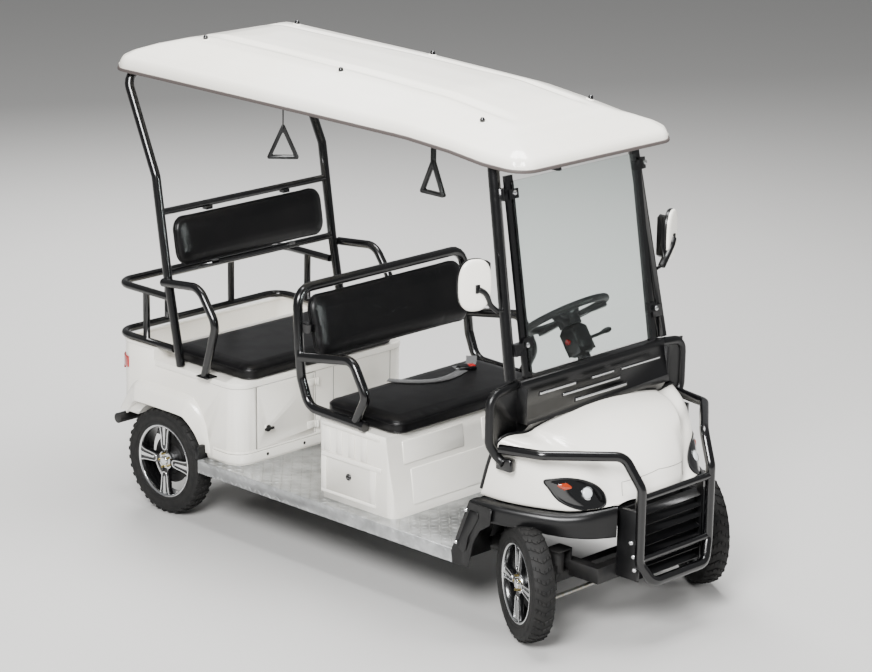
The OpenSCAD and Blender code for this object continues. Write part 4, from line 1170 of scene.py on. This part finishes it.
# how much thicker the finished tube is than the plain one, its coat of powder included
tubeNodes = {"front_seat_frame": 0.0022, "rear_pillars": 0.0015, "rear_rails": 0.0022, "roof_frame": 0.0,
             "front_pillars": 0.0015, "steering_wheel": 0.0, "windscreen": 0.0}


for node, look in plainFinish.items():
    piece = copyOfNode(node, f"{node}_finished")
    if node not in tubeNodes:
        softEdges(piece, 0.0015, 2, 40)
    else:
        for v in piece.data.vertices:
            v.co += v.normal * tubeNodes[node]
    finishPiece(piece, bodyOf(node), finish[look], hides=[node], smooth=42)
print("plain nodes finished:", len(plainFinish))

tubeRuns = {
    "guard": [(814.8, 472.3, 672), (968, 432, 676), (1146, 212, 664), (1204, 184, 556), (1204, 184, 290),
              (1231, 140, 217)],
    "guardRadius": 0.0172, "barRadius": 0.0125,
    "arm": [(-922, 459.3, 905), (-720, 459.3, 925), (-628, 459.3, 800), (-690, 459.3, 594)],
    "armRadius": 0.0162,
}


def makeTubes():
    run = tubeRuns
    half = [mm(*p) for p in run["guard"]]
    bm = bmesh.new()
    sweep(bm, bentPath(half + mirroredLines(half[::-1]), 0.052, 10), roundOutline(run["guardRadius"], 24))
    low = half[-2]
    for z in (0.521, 0.300):
        sweep(bm, [Vector((low.x, y, z)) for y in (-0.184, -0.09, 0, 0.09, 0.184)],
              roundOutline(run["barRadius"], 20))
    finishPiece(newObject("front_guard_tube", bm), "body", finish["tube"],
                hides=["front_guard"],
                smooth=60)
    for side in (-1, 1):
        which = "left" if side > 0 else "right"
        bm = bmesh.new()
        path = [Vector((p.x, p.y * side, p.z)) for p in (mm(*p) for p in run["arm"])]
        sweep(bm, bentPath(path, 0.072, 10), roundOutline(run["armRadius"], 24))
        arm = newObject(f"rear_arm_{which}", bm)
        finishPiece(arm, "body", finish["tube"], hides=["rear_armrests"] if side > 0 else (),
                    smooth=60)
        feet = bmesh.new()
        y0, y1 = sorted((side * 0.425, side * 0.478))
        addBox(feet, Vector((-0.722, y0, 0.5845)), Vector((-0.658, y1, 0.5905)))
        # bracket that carries the guard's foot on the hood's shoulder
        y0, y1 = sorted((side * 0.448, side * 0.476))
        addBox(feet, Vector((0.800, y0, 0.598)), Vector((0.866, y1, 0.642)))
        finishPiece(softEdges(newObject(f"tube_feet_{which}", feet), 0.003, 3), "body", finish["tube"])


makeTubes()
print("tubes made")


# seats

seatSizes = {"corner": 0.055, "edge": 0.017, "crown": 0.007, "voxel": 0.006, "pressure": 4.0, "steps": 20,
             "cap": 0.004, "welt": 0.0021}
# each cushion's own length direction, across the cart's side to side
cushions = {
    "front_seat_cushion": (1, 0, 0), "rear_seat_cushion": (1, 0, 0),
    "front_seat_back": (-60, 0, 232), "rear_seat_back": (-34, 0, 190),
}


def plan(halfX, halfY, inset, corner, z):
    r = max(corner - inset, 0.004)
    out = []
    for q, (sx, sy) in enumerate(((1, 1), (-1, 1), (-1, -1), (1, -1))):
        for k in range(9):
            t = math.radians(90 * q + 11.25 * k)
            out.append(Vector((sx * (halfX - inset - r) + r * math.cos(t),
                               sy * (halfY - inset - r) + r * math.sin(t),
                               z)))
    return out


def inflated(pad):
    # lets the cover swell a little under air pressure, held to a few millimetres
    size = seatSizes
    scene = bpy.context.scene
    before = [v.co.copy() for v in pad.data.vertices]
    cloth = pad.modifiers.new("cloth", "CLOTH")
    settings = cloth.settings
    settings.quality = 4
    settings.mass = 0.3
    settings.use_pressure = True
    settings.uniform_pressure_force = size["pressure"]
    settings.effector_weights.gravity = 0
    cloth.point_cache.frame_end = size["steps"]
    for step in range(1, size["steps"] + 1):
        scene.frame_set(step)
    graph = bpy.context.evaluated_depsgraph_get()
    after = [v.co.copy() for v in pad.evaluated_get(graph).data.vertices]
    pad.modifiers.clear()
    scene.frame_set(1)
    for v, start, end in zip(pad.data.vertices, before, after):
        step = end - start
        if step.length > size["cap"]:
            step = step.normalized() * size["cap"]
        v.co = start + step
    return pad


def makeCushion(node, along):
    size = seatSizes
    y = Vector(along).normalized()
    x = Vector((0, 1, 0))
    z = x.cross(y).normalized()
    if z.z < 0 or (abs(z.z) < 0.5 and z.x < 0):
        x, z = -x, -z
    axes = Matrix((x, y, z))
    spots = [axes @ v.co for v in frame["nodes"][node].data.vertices]
    low, high = (Vector([pick(s[i] for s in spots) for i in range(3)]) for pick in (min, max))
    middle = (low + high) / 2
    half = (high - low) / 2
    place = axes.transposed().to_4x4() @ Matrix.Translation((middle.x, middle.y, low.z))
    thick = high.z - low.z - size["cap"] * 0.5
    edge, crown = size["edge"], size["crown"]
    hx, hy = half.x - 0.002, half.y - 0.002
    rings = []
    for k in range(5):
        t = math.radians(22.5 * k)
        rings.append(plan(hx, hy, edge * (1 - math.sin(t)), size["corner"], edge * (1 - math.cos(t)) * 0.6))
    for k in range(5):
        t = math.radians(22.5 * k)
        rings.append(plan(hx, hy, edge * (1 - math.cos(t)), size["corner"],
                          thick - crown - edge * (1 - math.sin(t))))
    for inset, rise in ((0.035, 0.45), (0.06, 0.75), (0.10, 0.93), (0.14, 1.0)):
        rings.append(plan(hx, hy, min(inset, hy * 0.8), size["corner"], thick - crown * (1 - rise)))
    bm = bmesh.new()
    skin(bm, rings)
    pad = newObject(f"{node}_pad", bm)
    applied(pad, ("REMESH", {"mode": "VOXEL", "voxel_size": size["voxel"]}),
            ("SMOOTH", {"factor": 0.5, "iterations": 3}))
    inflated(pad)
    for v in pad.data.vertices:
        v.co.z = max(v.co.z, 0)
        v.co.z = min(v.co.z, thick + size["cap"] * 0.5)
    applied(pad, ("SUBSURF", {"levels": 1, "render_levels": 1}))
    pad.data.transform(place)
    finishPiece(pad, "body", finish["leather"], hides=[node], smooth=80)
    surface = BVHTree.FromObject(pad, bpy.context.evaluated_depsgraph_get())
    welts = bmesh.new()
    for inset, height in ((0.003, thick - crown - edge * 0.62), (0.0005, edge * 0.5)):
        path = []
        ring = plan(hx, hy, inset, size["corner"], height)
        for a, b in zip(ring, ring[1:] + ring[:1]):
            pieces = max(1, int((b - a).length / 0.02))
            for k in range(pieces):
                spot, normal = surface.find_nearest(place @ lerp(a, b, k / pieces))[:2]
                path.append(spot + normal * 0.0004)
        sweep(welts, path, roundOutline(size["welt"], 8), closed=True)
    finishPiece(newObject(f"{node}_welts", welts), "body", finish["leather"], smooth=80)


for node, along in cushions.items():
    makeCushion(node, along)
print("seats made")

# wheels

wheel = {"lip": 0.1415, "halfWidth": 0.0415, "crown": 0.2018, "spokes": 4, "hub": 0.036, "faceY": 0.034}
treads = {"road": {"count": 34, "rise": 0.0040}, "lug": {"count": 36, "rise": 0.0048}}


def treadLug(bm, corners, rise):
    def crownAt(z):
        return -0.0030 * (abs(z) / 0.028) ** 2.4

    def ring(share, lift):
        cx = sum(c[0] for c in corners) / len(corners)
        cz = sum(c[1] for c in corners) / len(corners)
        return [Vector((crownAt(cz + (z - cz) * share) + lift, cx + (y - cx) * share, cz + (z - cz) * share))
                for y, z in corners]
    skin(bm, [ring(1.0, -0.004), ring(1.0, rise * 0.6), ring(0.86, rise)])


def treadPiece(kind):
    bm = bmesh.new()
    rise = treads[kind]["rise"]
    metres = 0.001
    for s in (-1, 1):
        if kind == "road":
            plans = [[(-15, 2.5), (-2, 2.5), (6, 15), (-6.5, 15)],
                     [(-5.5, 16.5), (7, 16.5), (13, 27), (1, 28)],
                     [(3, 29.5), (13.5, 28.5), (15, 35), (6, 36)]]
        else:
            plans = [[(-9, 2), (8, 2), (5, 13), (-12, 13)], [(-13, 16), (4, 16), (3, 28), (-13, 28)],
                     [(-12, 30), (4, 30), (3, 38), (-11, 38)]]
        for corners in plans:
            treadLug(bm, [(y * metres * (1 if kind == "road" else s), z * metres * s) for y, z in corners],
                     rise)
    return newObject("template", bm)


def spokePiece(part):
    # a spoke along X, wide across Y, its face towards +Z
    bm = bmesh.new()
    face = wheel["faceY"]
    if part == "base":
        outline = [(0.026, -0.015), (0.060, -0.019), (0.110, -0.022), (0.1335, -0.030), (0.1335, 0.030),
                   (0.110, 0.022), (0.060, 0.019), (0.026, 0.015)]
        prism(bm, outline, 0.018, Matrix.Translation((0, 0, face - 0.023)))
        return softEdges(newObject("template", bm), 0.0025, 3)
    reach = [(0.134, -0.0255), (0.110, -0.0190), (0.070, -0.0150), (0.054, -0.0125)]
    bend = [(0.0475, -0.0080), (0.0455, 0.0), (0.0475, 0.0080)]
    path = [Vector((x, y, face - 0.004)) for x, y in reach + bend + [(x, -y) for x, y in reversed(reach)]]
    sweep(bm, curveThrough(path, 3), boxOutline(0.0052, 0.0060, 0.0014), up=Vector((0, 0, 1)))
    tongue = [(0.064, -0.0034), (0.134, -0.0072), (0.134, 0.0072), (0.064, 0.0034), (0.061, 0.0)]
    prism(bm, tongue, 0.005, Matrix.Translation((0, 0, face - 0.0065)))
    return newObject("template", bm)


def makeWheel(key, centre, outward, kind):
    body = f"wheel_{key}"
    inward = Vector((0, 0, 1)).cross(outward)
    place = Matrix.Translation(centre) @ Matrix((-inward, outward, Vector((0, 0, 1)))).transposed().to_4x4()
    ringPlace = place @ Matrix.Rotation(math.radians(-90), 4, "X")
    w = wheel
    half = w["halfWidth"]

    def turned(name, profile, look, hides=(), turns=96, smooth=40):
        bm = bmesh.new()
        lathe(bm, profile, turns)
        bm.transform(place)
        return finishPiece(newObject(f"{key}_{name}", bm), body, finish[look], hides=hides,
                           smooth=smooth)

    side = [(0.1400, 0.0350), (0.1440, 0.0385), (0.1500, 0.0400), (0.1540, 0.0392), (0.1600, half),
            (0.1740, half + 0.0004), (0.1860, half - 0.0008), (0.1900, half - 0.0026),
            (0.1950, half - 0.0052),
            (0.1985, 0.0300), (0.2008, 0.0200), (w["crown"], 0.0080)]
    profile = side + [(r, -y) for r, y in reversed(side)] + [(0.1375, -0.033), (0.1375, 0.033)]
    turned("tyre_body", profile, "tyre", hides=[f"{key}_tyre"], turns=128, smooth=30)
    tread = grown(f"{key}_tread", "ring", treadPiece(kind), finish["tyre"],
                  {"Count": treads[kind]["count"], "Radius": w["crown"]}, place=ringPlace)
    finishPiece(tread, body, None, smooth=25)
    sidewall = bmesh.new()
    for r, y in ((0.1565, 0.0403), (0.1800, half)):
        ring = [Vector((r * math.cos(t), y,
                        r * math.sin(t))) for t in (2 * math.pi * k / 96 for k in range(96))]
        sweep(sidewall, ring, roundOutline(0.0009, 6), closed=True)
    sidewall.transform(place)
    finishPiece(newObject(f"{key}_sidewall_ribs", sidewall), body, finish["tyre"], smooth=80)

    turned("rim_barrel", [(0.1395, 0.0300), (0.1345, 0.0280), (0.1300, 0.0180), (0.1290, -0.0250),
                          (0.1350, -0.0350), (0.1395, -0.0360), (0.1380, -0.0300), (0.1370, 0.0200)],
                          "rimPaint",
           hides=[f"{key}_rim"])
    turned("rim_lip",
           [(0.1330, 0.0285), (0.1330, 0.0345), (0.1350, 0.0368), (0.1390, 0.0380), (w["lip"], 0.0368),
                       (w["lip"], 0.0330), (0.1385, 0.0300)], "machined", turns=128)
    for part, look in (("base", "rimPaint"), ("ribs", "machined")):
        spokes = grown(f"{key}_spoke_{part}", "ring", spokePiece(part), finish[look],
                       {"Count": w["spokes"], "Radius": 0.0}, place=ringPlace)
        finishPiece(spokes, body, None, smooth=35)
    turned("hub_disc", [(0.0, 0.006), (w["hub"], 0.006), (w["hub"] + 0.002, 0.024), (w["hub"], 0.0275),
                        (0.030, 0.0290), (0.0, 0.0290)], "machined", turns=64)
    turned("hub_cap", [(0.0, 0.028), (0.0185, 0.028), (0.0185, 0.034), (0.0165, 0.0375), (0.0120, 0.0392),
                       (0.0, 0.0398)], "chrome", turns=48)
    nut = bmesh.new()
    outline = [(0.0048 * math.cos(math.radians(60 * k)),
                0.0048 * math.sin(math.radians(60 * k))) for k in range(6)]
    prism(nut, outline, 0.009, Matrix.Translation((0, 0, 0.028)))
    nuts = grown(f"{key}_wheel_nuts", "ring", newObject("template", nut), finish["gold"],
                 {"Count": 5, "Radius": 0.0268}, place=ringPlace)
    finishPiece(nuts, body, None, smooth=30)
    turned("brake_disc",
           [(0.022, -0.010), (0.092, -0.010), (0.092, -0.0065), (0.060, -0.0065), (0.056, 0.004),
                          (0.022, 0.006)], "chassis", turns=72)
    turned("hub_bell", [(0.0, 0.007), (0.034, 0.007), (0.040, -0.006), (0.040, -0.030), (0.0, -0.030)],
           "chassis",
           turns=48)


for key in ("front_left", "front_right", "rear_left", "rear_right"):
    joint = joints[f"{key}_spin"]
    outward = Vector(joint["axis"]).normalized()
    if outward.y * (1 if "left" in key else -1) < 0:
        outward = -outward
    tyreLow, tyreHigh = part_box(f"{key}_tyre")
    makeWheel(key, (Vector(tyreLow) + Vector(tyreHigh)) / 2, outward, "road" if "front" in key else "lug")
print("wheels made")


# mirrors, controls, belt and small fittings

smallParts = {
    "mirrorCentre": (0.720, 0.512, 1.234), "mirrorHalf": (0.061, 0.091), "mirrorTurn": 24,
    "mirrorDepth": 0.012,
    "louvres": [(-0.316, -0.133, 0.842, 0.007), (-0.046, 0.068, 0.843, 0.006), (-0.196, 0.101, 0.8125, 0.006),
                (-0.130, 0.138, 0.781, 0.0075), (0.110, 0.316, 0.842, 0.005)],
    "screenBolts": [(0.7215, 0.338, 1.526), (0.797, 0.338, 1.010)],
    "guardBolts": [(1.170, 0.190, 0.356), (1.183, 0.190, 0.309), (1.188, 0.190, 0.262)],
}


def roundedRing(halfY, halfZ, x, power=2.6, count=48):
    out = []
    for k in range(count):
        t = 2 * math.pi * k / count
        c, s = math.cos(t), math.sin(t)
        out.append(Vector((x, math.copysign(abs(c) ** (2 / power), c) * halfY,
                           math.copysign(abs(s) ** (2 / power), s) * halfZ)))
    return out


def makeMirrors():
    cx, cy, cz = smallParts["mirrorCentre"]
    hy, hz = smallParts["mirrorHalf"]
    d = smallParts["mirrorDepth"]
    arms = copyOfNode("mirrors", "mirror_arms", dropped=lambda p: abs(p.y) > 0.4685)
    finishPiece(arms, "body", finish["plastic"], hides=["mirrors"], smooth=45)
    for side in (-1, 1):
        which = "left" if side > 0 else "right"
        place = (Matrix.Translation((cx, cy * side, cz))
                 @ Matrix.Rotation(math.radians(smallParts["mirrorTurn"] * side), 4, "Z"))
        shell, rim, glass = bmesh.new(), bmesh.new(), bmesh.new()
        skin(shell, [roundedRing(hy * k, hz * (1 - (1 - k) * hy / hz), x) for k, x in
                     ((0.985, 0.0), (0.985, d * 0.35), (0.95, d * 0.68), (0.87, d * 0.88), (0.70, d),
                      (0.4, d * 1.06),
                      (0.1, d * 1.08))])
        skin(rim, [roundedRing(hy * k, hz * (1 - (1 - k) * hy / hz), x) for k, x in
                   ((0.93, -d + 0.001), (0.93, -d), (0.99, -d), (1.0, -d + 0.002), (1.0, 0.0),
                    (0.985, 0.0015))])
        skin(glass, [roundedRing(hy * k, hz * (1 - (1 - k) * hy / hz), x) for k, x in
                     ((0.92, -d + 0.002), (0.92, -d - 0.0004), (0.90, -d - 0.0012), (0.3, -d - 0.0014))])
        for name, bm, look, slot in (("shell", shell, "white", "mirror_shell"),
                                     ("rim", rim, "plastic", "mirror_shell"),
                                     ("glass", glass, "mirror", "mirror_shell")):
            bm.transform(place)
            finishPiece(newObject(f"mirror_{name}_{which}", bm), "body", finish[look], smooth=50)
        arm = bmesh.new()
        path = [Vector((cx + d * 1.1, side * (cy - 0.004), cz - 0.012)),
                Vector((cx + 0.026, side * 0.485, cz - 0.030)),
                Vector((0.744, side * 0.458, 1.160)), Vector((0.750, side * 0.430, 1.134))]
        flat = [(a * 1.35, b * 0.9) for a, b in roundOutline(0.0105, 16)]
        sweep(arm, curveThrough(path, 8), flat)
        addBox(arm, Vector((cx + d * 0.9, min(side * 0.486, side * 0.520), cz - 0.026)),
               Vector((cx + d * 1.5, max(side * 0.486, side * 0.520), cz + 0.004)))
        finishPiece(softEdges(newObject(f"mirror_arm_cover_{which}", arm), 0.0025, 3), "body",
                    finish["plastic"],
                    smooth=50)


def boltHeads(name, spots, look, size=1.0):
    # domed screw heads on washers, facing the way each spot says
    head = bmesh.new()
    lathe(head, [(0, 0), (0.0085, 0), (0.0085, 0.0014), (0.0062, 0.0018), (0.0060, 0.0040), (0.0042, 0.0054),
                 (0.0018, 0.0054), (0.0018, 0.0034), (0, 0.0034)], 20)
    head.transform(Matrix.Rotation(math.radians(90), 4, "X"))
    piece = grown(name, "points", newObject("template", head), finish[look], {"Size": size},
                  base=pointCloud(name, spots))
    return finishPiece(piece, "body", None, smooth=40)


def makeDashDetails():
    low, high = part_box("dash_cowl")
    slots, lights = bmesh.new(), bmesh.new()
    for y0, y1, z, tall in smallParts["louvres"]:
        addBox(slots, Vector((high.x - 0.0015, y0 - 0.006, z - tall - 0.0015)),
               Vector((high.x + 0.0010, y1 + 0.006, z + tall + 0.0015)))
        # painted light: bright machined strips in the slots stand for light seen through the louvres
        addBox(lights, Vector((high.x, y0, z - tall * 0.55)), Vector((high.x + 0.0022, y1, z + tall * 0.55)))
    finishPiece(softEdges(newObject("dash_louvres", slots), 0.0012), "body", finish["plastic"])
    finishPiece(softEdges(newObject("dash_louvre_edges", lights), 0.0008), "body", finish["machined"])


def makeControls():
    hub, low = mm(500, 205, 948), mm(655, 205, 716)
    along = (low - hub).normalized()
    across = Vector((0, 1, 0))
    back = along.cross(across)
    turn = Matrix((back, across, -along)).transposed().to_4x4()
    cover = bmesh.new()
    rings = []
    for distance, wide, tall in ((0.046, 0.030, 0.030), (0.060, 0.043, 0.040), (0.115, 0.045, 0.044),
                                 (0.150, 0.037, 0.038), (0.158, 0.026, 0.027)):
        rings.append([hub + along * distance + across * p.y + back * p.z
                      for p in roundedRing(wide, tall, 0, 4.0, 40)])
    skin(cover, rings)
    finishPiece(newObject("column_switch_cover", cover), "body", finish["plastic"],
                smooth=50)
    centre = bmesh.new()
    lathe(centre,
          [(0, -0.002), (0.046, -0.006), (0.052, 0.006), (0.050, 0.016), (0.040, 0.022), (0.020, 0.025),
                   (0, 0.0255)], 48)
    centre.transform(Matrix.Translation(hub - along * -0.004) @ turn @ Matrix.Rotation(math.radians(90), 4,
                                                                                       "X"))
    finishPiece(newObject("steering_wheel_centre", centre), "steering_wheel", finish["plastic"],
                smooth=50)
    button = bmesh.new()
    lathe(button, [(0, 0), (0.0105, 0), (0.0105, 0.006), (0.0085, 0.009), (0, 0.010)], 28)
    spot = hub + along * 0.100 + across * -0.045
    button.transform(Matrix.Translation(spot) @ Matrix.Rotation(math.radians(180), 4, "Z"))
    finishPiece(newObject("red_switch", button), "body", finish["red"], smooth=40)
    lever, knob = bmesh.new(), bmesh.new()
    start = hub + along * 0.104 + across * 0.040
    end = start + Vector((0.012, 0.078, 0.012))
    sweep(lever, [start, lerp(start, end, 0.5), end], roundOutline(0.0038, 12))
    finishPiece(newObject("gear_lever", lever), "body", finish["chrome"], smooth=50)
    lathe(knob,
          [(0, -0.004), (0.005, -0.004), (0.0075, 0.004), (0.0105, 0.022), (0.0100, 0.034), (0.0065, 0.042),
                 (0, 0.0435)], 28)
    knob.transform(Matrix.Translation(end) @ (end - start).to_track_quat("Y", "Z").to_matrix().to_4x4())
    finishPiece(newObject("gear_lever_knob", knob), "body", finish["grip"], smooth=50)


def makeBelt():
    low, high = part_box("seat_belt")
    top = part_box("front_seat_cushion")[1].z
    strap, buckle, button, tongue = bmesh.new(), bmesh.new(), bmesh.new(), bmesh.new()
    path = [Vector((-0.112, 0.372, top + 0.004)), Vector((-0.080, 0.338, top + 0.0035)),
            Vector((-0.050, 0.303, top + 0.0035)), Vector((-0.034, 0.276, top + 0.0050))]
    other = [Vector((-0.006, 0.214, top + 0.0045)), Vector((0.010, 0.160, top + 0.0035)),
             Vector((0.020, 0.090, top + 0.0035)), Vector((0.002, 0.020, top + 0.0035)),
             Vector((-0.050, -0.040, top + 0.0035)), Vector((-0.110, -0.078, top + 0.004))]
    for line in (path, other):
        sweep(strap, curveThrough(line, 8), boxOutline(0.040, 0.0016, 0.0006), up=Vector((0, 0, 1)))
    finishPiece(newObject("belt_webbing", strap), "body", finish["webbing"], smooth=60)
    turn = Matrix.Rotation(math.radians(-30), 4, "Z").to_3x3()
    place = Vector(((low.x + high.x) / 2, (low.y + high.y) / 2, 0))
    for bm, offset, size in ((buckle, (0, 0, 0.009), (0.048, 0.066, 0.014)),
                             (button, (0.009, 0.016, 0.0145), (0.034, 0.024, 0.007)),
                             (tongue, (-0.020, -0.036, 0.0088), (0.040, 0.020, 0.0036))):
        middle = place + Vector((0, 0, top)) + Vector(offset)
        addBox(bm, middle - Vector(size) / 2, middle + Vector(size) / 2, turn)
    finishPiece(softEdges(newObject("belt_buckle", buckle), 0.003, 3), "body", finish["plastic"],
                hides=["seat_belt"])
    finishPiece(softEdges(newObject("belt_release", button), 0.0015, 2), "body", finish["red"])
    finishPiece(softEdges(newObject("belt_tongue", tongue), 0.0010, 2), "body", finish["chrome"])


def makeFittings():
    s = smallParts
    spots = [(Vector((x + 0.012, side * y, z)), (1, 0, 0.25)) for x, y,
             z in s["screenBolts"] for side in (-1, 1)]
    boltHeads("screen_clamp_bolts", spots, "chrome", 1.1)
    spots = [(Vector((x, side * y, z)), (0.5, side, 0)) for x, y, z in s["guardBolts"] for side in (-1, 1)]
    boltHeads("guard_plate_bolts", spots, "chrome", 0.8)
    # side plates between the guard's legs and the chassis
    plates = bmesh.new()
    for side in (-1, 1):
        y0, y1 = sorted((side * 0.172, side * 0.188))
        addBox(plates, Vector((1.104, y0, 0.222)), Vector((1.196, y1, 0.470)))
    finishPiece(softEdges(newObject("guard_side_plates", plates), 0.002), "body", finish["plastic"])
    # painted highlight: bright machined rods along the lower edges of the grille's slats
    slatHighlightRods = bmesh.new()
    for k in range(7):
        z = 0.236 + 0.038 * k
        sweep(slatHighlightRods, [Vector((1.1675, y / 1000, z - 0.0085)) for y in range(-148, 149, 37)],
              roundOutline(0.0019, 10))
    finishPiece(newObject("slat_bright_edges", slatHighlightRods), "body", finish["machined"], smooth=60)
    boxes = bmesh.new()
    for side in (-1, 1):
        y0, y1 = sorted((side * 0.395, side * 0.487))
        addBox(boxes, Vector((-0.7175, y0, 0.264)), Vector((-0.7005, y1, 0.316)))
        y0, y1 = sorted((side * 0.350, side * 0.392))
        addBox(boxes, Vector((-0.800, y0, 0.262)), Vector((-0.700, y1, 0.330)))
    finishPiece(softEdges(newObject("floor_end_brackets", boxes), 0.002), "body", finish["plastic"])


makeMirrors()
makeDashDetails()
makeControls()
makeBelt()
makeFittings()
print("small fittings made")


# floor, light and camera

stage = {"floorHalf": 14.0, "floorColour": "#B4B3B1", "back": "#D9DADB",
         "eye": (7.3273, -7.6162, 3.8824), "yaw": 133.67, "pitch": -16.25, "roll": 0.94, "lens": 124.28}


def stageFinish():
    material, tree, shader, coords = startFinish("studio_floor", stage["floorColour"], 0.62)
    addGrain(tree, shader, coords, 4, 0.05)
    return material


def addStage():
    bm = bmesh.new()
    bmesh.ops.create_grid(bm, x_segments=2, y_segments=2, size=stage["floorHalf"])
    ground = newObject("studio_ground", bm)
    ground.data.materials.append(stageFinish())
    for name, spot, aim, size, power in (("key_light", (3.4, -5.6, 5.2), (0.1, 0, 0.7), 3.0, 1300),
                                         ("front_light", (7.2, 1.5, 2.6), (0.4, 0, 0.6), 2.4, 380),
                                         ("back_light", (-4.4, 2.6, 4.4), (0, 0, 0.9), 2.6, 560),
                                         ("top_light", (0, 0.4, 6.2), (0, 0, 0), 3.4, 620)):
        light = bpy.data.lights.new(name, "AREA")
        light.shape = "DISK"
        light.size = size
        light.energy = power
        lamp = bpy.data.objects.new(name, light)
        bpy.context.scene.collection.objects.link(lamp)
        lamp.location = spot
        lamp.visible_glossy = name in ("key_light", "top_light")
        lamp.rotation_euler = (Vector(aim) - Vector(spot)).to_track_quat("-Z", "Y").to_euler()
    world = bpy.data.worlds.new("studio_world")
    world.use_nodes = True
    background = world.node_tree.nodes["Background"]
    background.inputs["Color"].default_value = hexColour(stage["back"])
    background.inputs["Strength"].default_value = 0.42
    bpy.context.scene.world = world


def addCamera():
    yaw, pitch, roll = (math.radians(stage[key]) for key in ("yaw", "pitch", "roll"))
    forward = Vector((math.cos(pitch) * math.cos(yaw), math.cos(pitch) * math.sin(yaw), math.sin(pitch)))
    right = Vector((math.sin(yaw), -math.cos(yaw), 0))
    top = right.cross(forward)
    across = right * math.cos(roll) + top * math.sin(roll)
    upright = top * math.cos(roll) - right * math.sin(roll)
    data = bpy.data.cameras.new("main_camera")
    data.lens = stage["lens"]
    data.sensor_width = 36
    data.clip_end = 100
    camera = bpy.data.objects.new("main_camera", data)
    turn = Matrix((across, upright, -forward)).transposed().to_4x4()
    camera.matrix_world = Matrix.Translation(stage["eye"]) @ turn
    bpy.context.scene.collection.objects.link(camera)
    bpy.context.scene.camera = camera


addStage()
addCamera()
